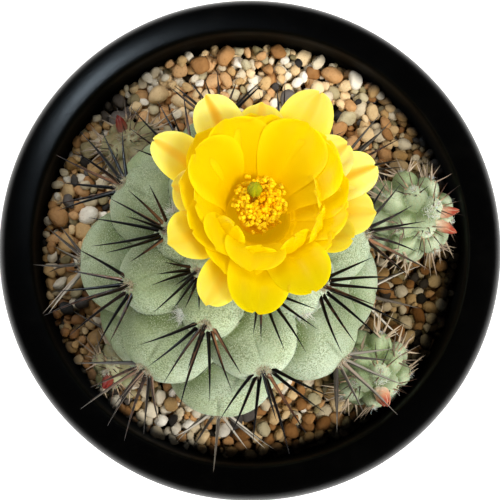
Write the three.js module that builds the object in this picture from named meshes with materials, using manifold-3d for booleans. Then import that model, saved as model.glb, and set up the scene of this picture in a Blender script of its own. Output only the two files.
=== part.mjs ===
// A small globular cactus in flower, in a round black pot of gritty potting mix.
// Millimetres, +Z up. The origin is the centre of the pot's foot, on the surface it stands on.
// -Y is the side nearest to a person looking down at the plant, and azimuths turn from +X towards +Y.
import * as THREE from "three";
import { ConvexHull } from "three/addons/math/ConvexHull.js";
import { mergeVertices } from "three/addons/utils/BufferGeometryUtils.js";
import Module from "manifold-3d";

const wasm = await Module();
wasm.setup();

// Driving dimensions
const RIM_RADIUS = 35; // outside of the pot's rolled rim
const POT_HEIGHT = 62;
const RIM_WIDTH = 5.1; // across the rolled rim, seen from above
const RIM_DEPTH = 5.6; // height of the rolled rim
const RIM_CREST = 31.3; // radius of the rim's highest line
const RIM_FALL = 3.2; // from the crest down to the rim's outer edge
const RIM_INNER_FALL = 1.3; // from the crest down to its inner edge
const FOOT_RADIUS = 24;
const WALL = 1.7;
const MIX_LEVEL = 55; // mean height of the gritty surface
const GAP = 0.3; // clearance between pieces that touch on the real plant
const POT_SEGMENTS = 48;
const GOLDEN_ANGLE = 137.5;
const SHORTEST_EDGE = 0.02;

// Solids and meshes
const rad = THREE.MathUtils.degToRad;
const vec = (x, y, z) => new THREE.Vector3(x, y, z);

function solidOf(geometry) {
  const bare = new THREE.BufferGeometry();
  bare.setAttribute("position", geometry.getAttribute("position"));
  bare.setIndex(geometry.index);
  const merged = mergeVertices(bare, 1e-4);
  return new wasm.Manifold(
    new wasm.Mesh({
      numProp: 3,
      vertProperties: new Float32Array(merged.attributes.position.array),
      triVerts: new Uint32Array(merged.index.array),
    }),
  );
}

// A solid as a geometry, with the ends of every very short edge that a cut left behind drawn together
function geometryOf(solid) {
  const { vertProperties, triVerts } = solid.getMesh();
  const pointAt = (i) => new THREE.Vector3().fromArray(vertProperties, 3 * i);
  const standsFor = Array.from({ length: vertProperties.length / 3 }, (_, i) => i);
  const find = (i) => (standsFor[i] === i ? i : find(standsFor[i]));
  const triangles = [];
  for (let i = 0; i < triVerts.length; i += 3) triangles.push([...triVerts.slice(i, i + 3)]);
  for (const [a, b, c] of triangles) {
    for (const [p, q] of [[a, b], [b, c], [c, a]]) {
      if (pointAt(p).distanceTo(pointAt(q)) >= SHORTEST_EDGE) continue;
      const [first, second] = [find(p), find(q)];
      standsFor[Math.max(first, second)] = Math.min(first, second);
    }
  }
  const drawn = triangles.map((corners) => corners.map(find));
  const kept = drawn.filter(([a, b, c]) => a !== b && b !== c && c !== a);
  const geometry = new THREE.BufferGeometry();
  geometry.setAttribute("position", new THREE.BufferAttribute(vertProperties, 3));
  geometry.setIndex(kept.flat());
  geometry.computeVertexNormals();
  return geometry;
}

function solidFromPoints(points, faces) {
  const geometry = new THREE.BufferGeometry();
  geometry.setAttribute("position", new THREE.Float32BufferAttribute(points.flatMap((p) => p.toArray()), 3));
  geometry.setIndex(faces.flat());
  return solidOf(geometry);
}

const joined = (solids) => solids.reduce((whole, next) => whole.add(next));

// The largest body, which drops any scrap that a cut leaves loose
function mainBody(solid) {
  return solid.decompose().reduce((best, body) => (body.volume() > best.volume() ? body : best));
}

// A lathe turned about +Z from [radius, height] points that run anticlockwise round the section
function turned(points, segments) {
  const profile = points.map(([radius, height]) => new THREE.Vector2(radius, height));
  return new THREE.LatheGeometry(profile, segments).rotateX(Math.PI / 2);
}

// Draws numbers by repeated multiplication, so that every build draws the same ones
function makeRandom(seed) {
  let state = seed;
  const draw = () => {
    state = (state * 16807) % 2147483647;
    return state / 2147483647;
  };
  return { draw, spread: (amount) => amount * (2 * draw() - 1) };
}

// The pot
const RIM_INNER = RIM_RADIUS - RIM_WIDTH;
const BASE_LEVEL = 4; // top of the pot's floor
const INNER_FOOT_RADIUS = FOOT_RADIUS - WALL - 0.4;
const FOOT_RISE = 2; // the floor's underside stands this far off the surface

// Inside radius of the pot at a height
function innerRadius(height) {
  const share = (height - BASE_LEVEL) / (POT_HEIGHT - RIM_DEPTH - BASE_LEVEL);
  return INNER_FOOT_RADIUS + Math.min(share, 1) * (RIM_INNER - 0.3 - INNER_FOOT_RADIUS);
}

function makePot() {
  const rimBase = POT_HEIGHT - RIM_DEPTH;
  const crown = [];
  for (const degrees of [0, 45, 90, 135, 180]) {
    const turn = rad(degrees);
    const width = degrees < 90 ? RIM_RADIUS - RIM_CREST : RIM_CREST - RIM_INNER;
    const fall = degrees < 90 ? RIM_FALL : RIM_INNER_FALL;
    crown.push([RIM_CREST + width * Math.cos(turn), POT_HEIGHT - fall * (1 - Math.sin(turn))]);
  }
  const section = [
    [0, FOOT_RISE],
    [FOOT_RADIUS - 4.6, FOOT_RISE],
    [FOOT_RADIUS - 4, 0],
    [FOOT_RADIUS - 0.6, 0],
    [FOOT_RADIUS, 0.6],
    [innerRadius(rimBase) + WALL, rimBase - 0.6],
    [RIM_RADIUS - 0.7, rimBase],
    [RIM_RADIUS, rimBase + 0.8],
    ...crown,
    [RIM_INNER - 0.3, rimBase],
    [INNER_FOOT_RADIUS, BASE_LEVEL + 1],
    [INNER_FOOT_RADIUS - 1, BASE_LEVEL],
    [0, BASE_LEVEL],
  ];
  let pot = solidOf(turned(section, POT_SEGMENTS));
  const drain = (x, y, radius) =>
    solidOf(new THREE.CylinderGeometry(radius, radius, 8, 12).rotateX(Math.PI / 2).translate(x, y, 3));
  pot = pot.subtract(drain(0, 0, 3));
  for (let i = 0; i < 6; i++) {
    const turn = rad(60 * i + 30);
    pot = pot.subtract(drain(12 * Math.cos(turn), 12 * Math.sin(turn), 2.4));
  }
  // Four low notches let water out from under the foot ring
  for (const degrees of [45, 135, 225, 315]) {
    const notch = new THREE.BoxGeometry(9, 5, 2.4).translate(FOOT_RADIUS - 2, 0, 0).rotateZ(rad(degrees));
    pot = pot.subtract(solidOf(notch));
  }
  return pot;
}

// Stems: the mother plant and the offsets round its foot are built by one rule.
// A stem is a flattened ball whose skin rises into low, overlapping tubercles in a golden-angle spiral.
const TUBERCLE_LENGTH = 0.66; // half-length of a tubercle over its spacing
const TUBERCLE_WIDTH = 0.6; // half-width over its spacing
const TUBERCLE_TILT = 0.55; // how much it rises outwards, so that its outer edge laps over the next
const TUBERCLE_ROUNDNESS = 0.45; // share of its fall that is round, the rest is steep at the edge
const AREOLE_SHIFT = 0.33; // the areole lies this far outwards of the tubercle's middle, over its spacing

// A stem's relief is its tubercles' height over their spacing, and its deepest crease over its radius
function makeStem(form) {
  const { name, centre, radius, flatten, lean, leanAzimuth, firstAzimuth, places } = form;
  const { relief, seed, spines } = form;
  const axis = vec(-Math.sin(rad(leanAzimuth)), Math.cos(rad(leanAzimuth)), 0);
  const turn = new THREE.Quaternion().setFromAxisAngle(axis, rad(lean));
  const stem = { name, centre: vec(...centre), radius, flatten, turn, relief, seed, spines };
  stem.tubercles = places.map(({ polar, spacing }, i) => {
    const azimuth = rad(firstAzimuth - GOLDEN_ANGLE * i);
    const p = rad(polar);
    return {
      spacing,
      out: vec(Math.sin(p) * Math.cos(azimuth), Math.sin(p) * Math.sin(azimuth), Math.cos(p)),
      down: vec(Math.cos(p) * Math.cos(azimuth), Math.cos(p) * Math.sin(azimuth), -Math.sin(p)),
      side: vec(-Math.sin(azimuth), Math.cos(azimuth), 0),
    };
  });
  return stem;
}

// Height of one tubercle over the stem's ball at a direction
function domeHeight(stem, tubercle, direction) {
  if (direction.dot(tubercle.out) < 0.2) return -Infinity;
  const across = (stem.radius * direction.dot(tubercle.side)) / (TUBERCLE_WIDTH * tubercle.spacing);
  const outwards = stem.radius * direction.dot(tubercle.down) + AREOLE_SHIFT * tubercle.spacing;
  const along = outwards / (TUBERCLE_LENGTH * tubercle.spacing);
  const away = across ** 2 + along ** 2;
  const fall = TUBERCLE_ROUNDNESS * away + (1 - TUBERCLE_ROUNDNESS) * away ** 2 - TUBERCLE_TILT * along;
  return -fall * stem.relief.height * tubercle.spacing;
}

function ballRadius({ radius, flatten }, direction) {
  return radius / Math.hypot(direction.x, direction.y, direction.z / flatten);
}

// Distance from the stem's centre to its skin in a direction of the stem's own frame
function skinRadius(stem, direction) {
  const highest = Math.max(...stem.tubercles.map((t) => domeHeight(stem, t, direction)));
  return ballRadius(stem, direction) + Math.max(highest, -stem.relief.deepest * stem.radius);
}

const placed = (stem, local) => local.clone().applyQuaternion(stem.turn).add(stem.centre);

// Slides a direction that is near a crease into it, so that the facets fold along the crease
function snapToCrease(stem, direction) {
  const gapBetween = (d) => {
    const heights = stem.tubercles.map((t) => domeHeight(stem, t, d)).sort((a, b) => b - a);
    return heights[0] - heights[1];
  };
  const step = 0.004;
  const here = gapBetween(direction);
  const reach = 0.28 * stem.relief.height * stem.radius;
  if (here > reach) return direction;
  const sideways = vec(0.31, 0.52, 0.8).cross(direction).normalize();
  const upwards = direction.clone().cross(sideways);
  const slopes = [sideways, upwards].map(
    (t) => (gapBetween(direction.clone().addScaledVector(t, step).normalize()) - here) / step,
  );
  const steepness = slopes[0] ** 2 + slopes[1] ** 2;
  if (steepness < 1e-6) return direction;
  const moved = direction
    .clone()
    .addScaledVector(sideways, (-here * slopes[0]) / steepness)
    .addScaledVector(upwards, (-here * slopes[1]) / steepness);
  return moved.normalize();
}

// The stem's skin as a closed solid: evenly spread directions are joined by their convex hull
// and pushed out to the skin
function skinSolid(stem, count, grow = 0) {
  const directions = [];
  for (let i = 0; i < count; i++) {
    const z = 1 - (2 * i + 1) / count;
    const azimuth = rad(GOLDEN_ANGLE * i + 0.5);
    if (z < -0.62 && i % 4) continue; // fewer below the surface of the mix
    const ring = Math.sqrt(1 - z * z);
    directions.push(snapToCrease(stem, vec(ring * Math.cos(azimuth), ring * Math.sin(azimuth), z)));
  }
  const skin = new Map();
  directions.forEach((d) => skin.set(d, placed(stem, d.clone().multiplyScalar(skinRadius(stem, d) + grow))));
  const points = [];
  const numbers = new Map();
  const numberOf = (d) => {
    if (!numbers.has(d)) {
      numbers.set(d, points.length);
      points.push(skin.get(d));
    }
    return numbers.get(d);
  };
  const faces = new ConvexHull().setFromPoints(directions).faces.map((face) => {
    const corners = [face.getEdge(0), face.getEdge(1), face.getEdge(2)];
    return corners.map((edge) => numberOf(edge.head().point));
  });
  return solidFromPoints(points, faces);
}

// A smooth flattened ball round the whole stem
function ballSolid(stem, grow, segments) {
  const ball = new THREE.SphereGeometry(1, segments, Math.round(segments / 2)).rotateX(Math.PI / 2);
  const wide = stem.radius + grow;
  ball.scale(wide, wide, stem.radius * stem.flatten + grow).applyQuaternion(stem.turn);
  return solidOf(ball.translate(...stem.centre.toArray()));
}

// Tubercles of the mother stem, from the young ones at the crown to those at the surface of the mix
function motherPlaces(radius) {
  const places = [];
  for (let k = -5; k <= 22; k++) {
    const polar = 17.2 + 2.95 * k + 0.084 * k * k;
    const growth = rad(2.95 + 0.168 * k); // change of polar angle from one tubercle to the next
    const area = 2 * Math.PI * radius ** 2 * Math.sin(rad(polar)) * growth;
    places.push({ polar, spacing: Math.sqrt(1.15 * area) });
  }
  return places;
}

// Tubercles of an offset: all the same size
function offsetPlaces(count, radius) {
  const share = 1.5 / count; // the spiral ends a little below the widest part
  const spacing = Math.sqrt(1.15 * 2 * Math.PI * share) * radius;
  return Array.from({ length: count }, (_, k) => {
    const polar = THREE.MathUtils.radToDeg(Math.acos(1 - share * (k + 0.5)));
    return { polar, spacing };
  });
}

const MOTHER_RADIUS = 20;
const motherStem = makeStem({
  name: "stem_main",
  centre: [-2.5, -2.7, MIX_LEVEL + 11.5],
  radius: MOTHER_RADIUS,
  flatten: 0.93,
  lean: 5.6,
  leanAzimuth: 90,
  firstAzimuth: 220 + 5 * GOLDEN_ANGLE,
  places: motherPlaces(MOTHER_RADIUS),
  relief: { height: 0.34, deepest: 0.13 },
  seed: 4021,
  spines: {
    fan: [-62, -41, -20, 2, 22, 42, 62], rise: 26, central: 64, length: 12, shortening: 200, thickness: 0.34,
  },
});

const OFFSET_RELIEF = { height: 0.5, deepest: 0.17 };
const OFFSET_SPINES = {
  fan: [-130, -66, 0, 66, 130], rise: 24, central: 0, length: 4.4, shortening: 330, thickness: 0.24,
};
const offsetStems = [
  {
    name: "offset_right", centre: [22.2, 4.5, 59.6], radius: 6.2, flatten: 0.95, lean: 27, leanAzimuth: 5,
    firstAzimuth: 40, places: offsetPlaces(18, 6.2), seed: 77,
    relief: OFFSET_RELIEF, spines: OFFSET_SPINES,
  },
  {
    name: "offset_front_right", centre: [16.7, -16.7, 59.2], radius: 5.5, flatten: 0.95, lean: 26,
    leanAzimuth: -55, firstAzimuth: 100, places: offsetPlaces(15, 5.5), seed: 191,
    relief: OFFSET_RELIEF, spines: OFFSET_SPINES,
  },
  {
    name: "offset_back_left", centre: [-16.6, 14.2, 57.6], radius: 4.3, flatten: 0.95, lean: 24,
    leanAzimuth: 135, firstAzimuth: 10, places: offsetPlaces(11, 4.3), seed: 305,
    relief: OFFSET_RELIEF, spines: OFFSET_SPINES,
  },
  {
    name: "offset_front_left", centre: [-18.7, -16.3, 57], radius: 3.5, flatten: 0.95, lean: 26,
    leanAzimuth: 220, firstAzimuth: 60, places: offsetPlaces(9, 3.5), seed: 413,
    relief: OFFSET_RELIEF, spines: OFFSET_SPINES,
  },
].map(makeStem);

// The flower's own frame: it stands just behind the crown and leans away from the front
const FLOWER_BASE = vec(-0.3, 0, 84.3);
const FLOWER_LEAN = 17;
const FLOWER_LEAN_AZIMUTH = 60;
const FLOWER_THROAT = 7; // along the flower's axis, where the petals leave the tube
const FLOWER_TURN = new THREE.Quaternion().setFromAxisAngle(
  vec(-Math.sin(rad(FLOWER_LEAN_AZIMUTH)), Math.cos(rad(FLOWER_LEAN_AZIMUTH)), 0),
  rad(FLOWER_LEAN),
);
const FLOWER_AXIS = vec(0, 0, 1).applyQuaternion(FLOWER_TURN);
const inFlower = (geometry) => geometry.applyQuaternion(FLOWER_TURN).translate(...FLOWER_BASE.toArray());

// How far a point is outside the space that the open flower takes up
function clearOfFlower(point) {
  const from = point.clone().sub(FLOWER_BASE);
  const along = from.dot(FLOWER_AXIS);
  const away = Math.sqrt(Math.max(from.lengthSq() - along * along, 0));
  if (along < -6) return Infinity;
  return away - (3.2 + Math.max(along - FLOWER_THROAT + 1, 0) * 2.2);
}

// How far a point is inside the pot's wall and above its rim
function clearOfPot(point) {
  const wall = innerRadius(point.z) - Math.hypot(point.x, point.y);
  return Math.max(wall, point.z - POT_HEIGHT);
}

// Spines. Each areole has a fan of them that opens outwards and down, and some have a central one.
const SPINE_STEPS = 8;
const AREOLE_RADIUS = 0.75;
const SPINE_ROOT_DEPTH = 0.8; // under the skin

function spineDirection(frame, fanAngle, rise) {
  return vec(0, 0, 0)
    .addScaledVector(frame.down, Math.cos(rad(rise)) * Math.cos(rad(fanAngle)))
    .addScaledVector(frame.side, Math.cos(rad(rise)) * Math.sin(rad(fanAngle)))
    .addScaledVector(frame.out, Math.sin(rad(rise)));
}

function distanceToSegment(point, { from, to }) {
  const along = to.clone().sub(from);
  const share = THREE.MathUtils.clamp(point.clone().sub(from).dot(along) / along.lengthSq(), 0, 1);
  return point.distanceTo(from.clone().addScaledVector(along, share));
}

// How far a point stands off its own stem's skin
function heightOverSkin(stem, point) {
  const local = point.clone().sub(stem.centre).applyQuaternion(stem.turn.clone().invert());
  const distance = local.length();
  return distance - skinRadius(stem, local.divideScalar(distance));
}

// True if a spine keeps clear of the mix, the pot, the flower, the stems and the spines of other areoles
function spineIsClear(stem, from, to, otherStems, otherSpines) {
  for (let i = 2; i <= SPINE_STEPS; i++) {
    const point = from.clone().lerp(to, i / SPINE_STEPS);
    if (point.z < MIX_LEVEL + 1.9 || clearOfPot(point) < 0.7 || clearOfFlower(point) < 0.7) return false;
    if (otherStems.some((s) => point.distanceTo(s.centre) < s.radius + 0.7)) return false;
    if (otherSpines.some((s) => distanceToSegment(point, s) < 0.9)) return false;
    if (i > 3 && heightOverSkin(stem, point) < 0.45) return false;
  }
  return true;
}

// The spines of a stem as { from, to, thickness }, each bent clear of its neighbours or left out
function growSpines(stem, otherStems, spinesElsewhere) {
  const random = makeRandom(stem.seed);
  const { fan, rise, central, length, shortening, thickness } = stem.spines;
  const grown = [];
  for (const tubercle of stem.tubercles) {
    const size = Math.min(tubercle.spacing / (0.55 * stem.radius), 1);
    const turnedOut = (direction) => direction.clone().applyQuaternion(stem.turn);
    const [out, down, side] = [tubercle.out, tubercle.down, tubercle.side].map(turnedOut);
    const areole = placed(stem, tubercle.out.clone().multiplyScalar(skinRadius(stem, tubercle.out)));
    const others = [...spinesElsewhere, ...grown];
    const wanted = fan.map((angle) => {
      return [angle, rise, length * (1 - Math.abs(angle) / shortening), AREOLE_RADIUS];
    });
    if (central) wanted.push([0, central, length * 0.62, 0]);
    for (const [angle, lift, reach, offset] of wanted) {
      const fanAngle = angle + random.spread(6);
      const firstRise = lift + random.spread(7);
      const spineLength = reach * size * (1 + random.spread(0.14));
      const tries = [];
      for (const turn of [0, 14, -14, 28, -28]) {
        for (const bend of [0, -9, 9, -18, 18, 27, 36]) tries.push([fanAngle + turn, firstRise + bend]);
      }
      for (const [tryAngle, tryRise] of tries) {
        const direction = spineDirection({ out, down, side }, tryAngle, tryRise);
        const spread = spineDirection({ out, down, side }, 1.45 * angle, 0);
        const from = areole.clone().addScaledVector(spread, offset * size);
        from.addScaledVector(out, -SPINE_ROOT_DEPTH);
        const to = areole.clone().addScaledVector(direction, spineLength);
        if (tryRise > 4 && spineIsClear(stem, from, to, otherStems, others)) {
          grown.push({ from, to, thickness: thickness * (0.7 + 0.3 * size) });
          break;
        }
      }
    }
  }
  return grown;
}

// A three-sided needle from a root under the skin to its point
function needleSolid({ from, to, thickness }) {
  const direction = to.clone().sub(from).normalize();
  const side = direction.clone().cross(vec(0.36, 0.48, 0.8)).normalize();
  const other = direction.clone().cross(side);
  const points = [0, 120, 240].map((degrees) =>
    from
      .clone()
      .addScaledVector(side, thickness * Math.cos(rad(degrees)))
      .addScaledVector(other, thickness * Math.sin(rad(degrees))),
  );
  points.push(to);
  return solidFromPoints(points, [[0, 2, 1], [0, 1, 3], [1, 2, 3], [2, 0, 3]]);
}

// The flower
const PETAL_THICKNESS = 0.62;
const LAYERS = [0, 0.27, -0.27]; // neighbours in a whorl lap over each other

// Petals of the three whorls: azimuth round the flower, reach from its axis, and width
const OUTER_PETALS = [
  [-118, 15, 5.2], [-20, 12, 5], [-2, 14.3, 6.6], [21, 15.6, 5.8], [37, 13.8, 6.2], [63, 17.2, 6.6],
  [89, 13.5, 6.2], [116, 15.7, 6.2], [149, 15.7, 5.8], [169, 11.3, 6.2], [205, 12.9, 6.6],
];
const MIDDLE_PETALS = [
  [-95, 14.7, 7.6], [-64, 13.2, 7.6], [-32, 9.8, 8.4], [-6, 10.4, 8], [16, 10.8, 8], [45, 11.6, 8.4],
  [72, 11, 8.6], [98, 11.2, 8.4], [136, 11.6, 8.6], [170, 10.6, 8.4], [206, 10, 8], [242, 10.8, 8.2],
];
const INNER_PETALS = [
  [-96, 7.3, 6], [-58, 7.2, 6.6], [-24, 8, 6.6], [6, 7.4, 6.4], [34, 10.4, 8.6], [60, 10.8, 8.8],
  [86, 10.5, 8.8], [116, 10.8, 8.8], [150, 10.2, 8.6], [188, 8.8, 7.6], [225, 7, 5.4],
];

// Each whorl's petals follow one curve from the throat outwards, through points of radius and height
const WHORLS = [
  { petals: OUTER_PETALS, foot: [4.9, 6.6], knee: [9.5, 13.6], end: [17.6, 12.2] },
  { petals: MIDDLE_PETALS, foot: [4.4, 6.85], knee: [7.6, 16.3], end: [14.8, 14] },
  { petals: INNER_PETALS, foot: [3.9, 7.1], knee: [6, 17.2], end: [11.4, 15.9] },
];

// The whorl's curve, moved to a layer and cut off at a petal's reach
function petalLine({ foot, knee, end }, reach, layer) {
  const start = new THREE.Vector2(foot[0] - 0.7 * layer, foot[1]);
  const middle = new THREE.Vector2(knee[0] - 0.5 * layer, knee[1] + 0.7 * layer);
  const last = new THREE.Vector2(end[0], end[1] + layer);
  const bend = start.x - 2 * middle.x + last.x;
  const slope = 2 * (middle.x - start.x);
  const cut = (Math.sqrt(slope ** 2 - 4 * bend * (start.x - reach)) - slope) / (2 * bend);
  const until = new THREE.QuadraticBezierCurve(start, middle, last).getPoint(cut);
  return new THREE.QuadraticBezierCurve(start, start.clone().lerp(middle, cut), until);
}

// One petal as a thin blade along its line, bent round the flower's axis so that it lies on its neighbours
function petalSolid(line, azimuth, width) {
  const lengthSteps = [0, 0.4, 0.76, 1];
  const widthAt = [0.36, 0.76, 1, 0.42];
  const points = [];
  for (const face of [0, -PETAL_THICKNESS]) {
    lengthSteps.forEach((u, i) => {
      const at = line.getPoint(u);
      const tangent = line.getTangent(u);
      const radius = at.x - tangent.y * face;
      for (const v of [-1, 0, 1]) {
        const turn = rad(azimuth) + (v * widthAt[i] * width) / 2 / radius;
        points.push(vec(radius * Math.cos(turn), radius * Math.sin(turn), at.y + tangent.x * face));
      }
    });
  }
  const rows = lengthSteps.length;
  const under = rows * 3;
  const faces = [];
  const quad = (a, b, c, d) => faces.push([a, b, c], [a, c, d]);
  for (let i = 0; i < rows - 1; i++) {
    for (const a of [i * 3, i * 3 + 1]) {
      quad(a, a + 3, a + 4, a + 1);
      faces.push([under + a, under + a + 4, under + a + 3], [under + a, under + a + 1, under + a + 4]);
    }
    const [left, right] = [i * 3, i * 3 + 2];
    quad(left, under + left, under + left + 3, left + 3);
    quad(right, right + 3, under + right + 3, under + right);
  }
  const last = (rows - 1) * 3;
  for (const j of [0, 1]) {
    quad(j, j + 1, under + j + 1, under + j);
    quad(last + j, under + last + j, under + last + j + 1, last + j + 1);
  }
  points.forEach((p) => p.applyQuaternion(FLOWER_TURN).add(FLOWER_BASE));
  return solidFromPoints(points, faces);
}

function makePetals() {
  const solids = [throatRing()];
  for (const whorl of WHORLS) {
    whorl.petals.forEach(([azimuth, reach, width], i) => {
      solids.push(petalSolid(petalLine(whorl, reach, LAYERS[i % 3]), azimuth, width));
    });
  }
  return mainBody(joined(solids));
}

// The petals grow together in this ring round the throat
const TUBE_TOP = FLOWER_THROAT - 1.9;

function throatRing() {
  const section = [
    [2.7, TUBE_TOP + GAP],
    [3.4, TUBE_TOP + GAP],
    [5.1, FLOWER_THROAT + 0.4],
    [3.9, FLOWER_THROAT + 0.8],
    [2.7, TUBE_TOP + GAP],
  ];
  return solidOf(inFlower(turned(section, 18)));
}

// The green tube with the ovary inside it, which stands on the stem
function makeTube() {
  const section = [
    [0, -3],
    [2, -3],
    [2.3, 0],
    [2.6, 2.6],
    [3.3, TUBE_TOP],
    [0, TUBE_TOP],
  ];
  return solidOf(inFlower(turned(section, 16)));
}

// The style leans back from the middle of the flower and ends in a knob of closed green stigma lobes
const STIGMA = vec(-0.9, 1.9, FLOWER_THROAT + 5.4);
const STYLE_ROOT = vec(0, 0, TUBE_TOP + GAP);
const STYLE_RADIUS = 0.42;
const STIGMA_RADIUS = 0.9;

function makePistil() {
  const length = STIGMA.distanceTo(STYLE_ROOT);
  const upright = vec(0, 0, 1);
  const aim = new THREE.Quaternion().setFromUnitVectors(upright, STIGMA.clone().sub(STYLE_ROOT).normalize());
  const section = [
    [0, 0],
    [STYLE_RADIUS, 0],
    [STYLE_RADIUS, length - 1],
    [STIGMA_RADIUS, length - 0.4],
    [STIGMA_RADIUS, length + 0.4],
    [0.5, length + 1],
    [0, length + 1.1],
  ];
  return solidOf(inFlower(turned(section, 9).applyQuaternion(aim).translate(...STYLE_ROOT.toArray())));
}

// The stamens stand out of a low dome in the throat, each a filament that widens into its anther
const STAMEN_COUNT = 40;
const STAMEN_SPREAD = 3.1; // how far the outermost anthers are from the flower's axis

function makeStamens() {
  const dome = [
    [0, TUBE_TOP + GAP],
    [2.3, TUBE_TOP + GAP],
    [2.4, FLOWER_THROAT],
    [1.6, FLOWER_THROAT + 1.5],
    [0, FLOWER_THROAT + 2],
  ];
  const random = makeRandom(606);
  const solids = [solidOf(inFlower(turned(dome, 14)))];
  for (let i = 0; i < STAMEN_COUNT; i++) {
    const azimuth = rad(GOLDEN_ANGLE * i);
    const share = Math.sqrt((i + 1.5) / (STAMEN_COUNT + 1));
    const outward = vec(Math.cos(azimuth), Math.sin(azimuth), 0);
    const root = outward.clone().multiplyScalar(2.1 * share).setZ(FLOWER_THROAT + 1.1 - 0.6 * share);
    const tip = outward.clone().multiplyScalar(STAMEN_SPREAD * share);
    tip.setZ(FLOWER_THROAT + 4.6 - 1.1 * share + random.spread(0.4));
    const style = { from: STYLE_ROOT, to: STIGMA };
    if (distanceToSegment(tip, style) < 1.9 || distanceToSegment(root, style) < 0.9) continue;
    solids.push(stamenSolid(root, tip));
  }
  const styleRoom = needleRoom(STYLE_ROOT, STIGMA, STYLE_RADIUS + GAP);
  return mainBody(joined(solids).subtract(styleRoom));
}

// A plain round hole along a line in the flower, for the style to pass through
function needleRoom(from, to, radius) {
  const length = to.distanceTo(from);
  const hole = new THREE.CylinderGeometry(radius, radius, 2 * length, 9).rotateX(Math.PI / 2);
  const aim = new THREE.Quaternion().setFromUnitVectors(vec(0, 0, 1), to.clone().sub(from).normalize());
  hole.applyQuaternion(aim).translate(...from.toArray());
  return solidOf(inFlower(hole));
}

function stamenSolid(root, tip) {
  const direction = tip.clone().sub(root).normalize();
  const side = direction.clone().cross(vec(0.36, 0.48, 0.8)).normalize();
  const other = direction.clone().cross(side);
  const points = [];
  for (const [at, thickness] of [[root, 0.2], [tip, 0.42]]) {
    for (const degrees of [0, 120, 240]) {
      const point = at.clone().addScaledVector(side, thickness * Math.cos(rad(degrees)));
      points.push(point.addScaledVector(other, thickness * Math.sin(rad(degrees))));
    }
  }
  points.forEach((p) => p.applyQuaternion(FLOWER_TURN).add(FLOWER_BASE));
  const faces = [[0, 2, 1], [3, 4, 5]];
  for (let i = 0; i < 3; i++) {
    const j = (i + 1) % 3;
    faces.push([i, j, j + 3], [i, j + 3, i + 3]);
  }
  return solidFromPoints(points, faces);
}

// Red flower buds at the crowns of the offsets: where each stands on its offset, and its size
const BUDS = [
  { name: "bud_right_upper", stem: 0, polar: 20, azimuth: 2, length: 2.6, width: 0.76, tilt: 22 },
  { name: "bud_right_lower", stem: 0, polar: 24, azimuth: -40, length: 2.8, width: 0.8, tilt: 22 },
  { name: "bud_front_right", stem: 1, polar: 20, azimuth: -80, length: 2.7, width: 1.05, tilt: 10 },
  { name: "bud_back_left", stem: 2, polar: 22, azimuth: 100, length: 2.3, width: 0.75, tilt: 16 },
  { name: "bud_front_left", stem: 3, polar: 18, azimuth: 270, length: 2.3, width: 0.75, tilt: 8 },
];

function makeBud({ stem, polar, azimuth, length, width, tilt }) {
  const host = offsetStems[stem];
  const place = (angle) => {
    const [p, a] = [rad(angle), rad(azimuth)];
    return vec(Math.sin(p) * Math.cos(a), Math.sin(p) * Math.sin(a), Math.cos(p));
  };
  const foot = placed(host, place(polar).multiplyScalar(ballRadius(host, place(polar)) - 1.4));
  const aim = place(polar + tilt).applyQuaternion(host.turn);
  const section = [
    [0, 0],
    [0.7 * width, 0.4],
    [width, 0.45 * length],
    [0.72 * width, 0.78 * length],
    [0.12, length + 1.2],
    [0, length + 1.2],
  ];
  const bud = turned(section, 7);
  bud.applyQuaternion(new THREE.Quaternion().setFromUnitVectors(vec(0, 0, 1), aim));
  return solidOf(bud.translate(...foot.toArray()));
}

// Where every spine is, from the mother stem outwards, so that later ones bend clear of earlier ones
const spinesOf = new Map();
const allStems = [motherStem, ...offsetStems];
for (const stem of allStems) {
  const others = allStems.filter((s) => s !== stem);
  const earlier = [...spinesOf.values()].flat();
  spinesOf.set(stem, growSpines(stem, others, earlier));
}

const budSolids = BUDS.map(makeBud);
const motherRoom = skinSolid(motherStem, 500, GAP + 0.3);

// The mother stem's buried foot narrows into a short taproot
const ROOT_TOP = 49;
const ROOT_TIP = 26;
const ROOT_RADIUS = 5;

function rootSolid(grow) {
  const section = [
    [0, ROOT_TIP - grow],
    [1.2 + grow, ROOT_TIP - grow],
    [ROOT_RADIUS + grow, ROOT_TOP - 3],
    [ROOT_RADIUS + grow, ROOT_TOP + 3],
    [0, ROOT_TOP + 3],
  ];
  return solidOf(turned(section, 12).translate(motherStem.centre.x, motherStem.centre.y, 0));
}

function makeMother() {
  const needles = spinesOf.get(motherStem).map(needleSolid);
  return mainBody(joined([skinSolid(motherStem, 860), rootSolid(0), ...needles]));
}

function makeOffset(stem) {
  const count = Math.round(18 * stem.radius + 60);
  const buds = BUDS.map((bud, i) => (offsetStems[bud.stem] === stem ? budSolids[i] : null)).filter(Boolean);
  let body = joined([skinSolid(stem, count), ...spinesOf.get(stem).map(needleSolid)]).subtract(motherRoom);
  for (const bud of buds) body = body.subtract(grownBud(bud));
  return mainBody(body);
}

// Room for a bud: the bud's solid, widened all round by the gap
function grownBud(bud) {
  const shifts = [];
  for (const x of [-GAP, GAP]) {
    for (const y of [-GAP, GAP]) shifts.push([x, y, -GAP], [x, y, GAP]);
  }
  return wasm.Manifold.hull(shifts.map((shift) => bud.translate(shift)));
}

// The potting mix fills the pot. Its surface is raised into grains, each a low faceted dome on a jittered
// triangular lattice, and it has plain holes for the stems.
const GRAIN_PITCH = 4.8;
const GRAIN_RISE = 0.8;
const GRAIN_GROOVE = 1; // depth of the grooves between grains, under the mean surface
const STEM_HOLE_ROOM = 0.95; // the holes for the stems are wider than their balls by this much all round

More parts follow.
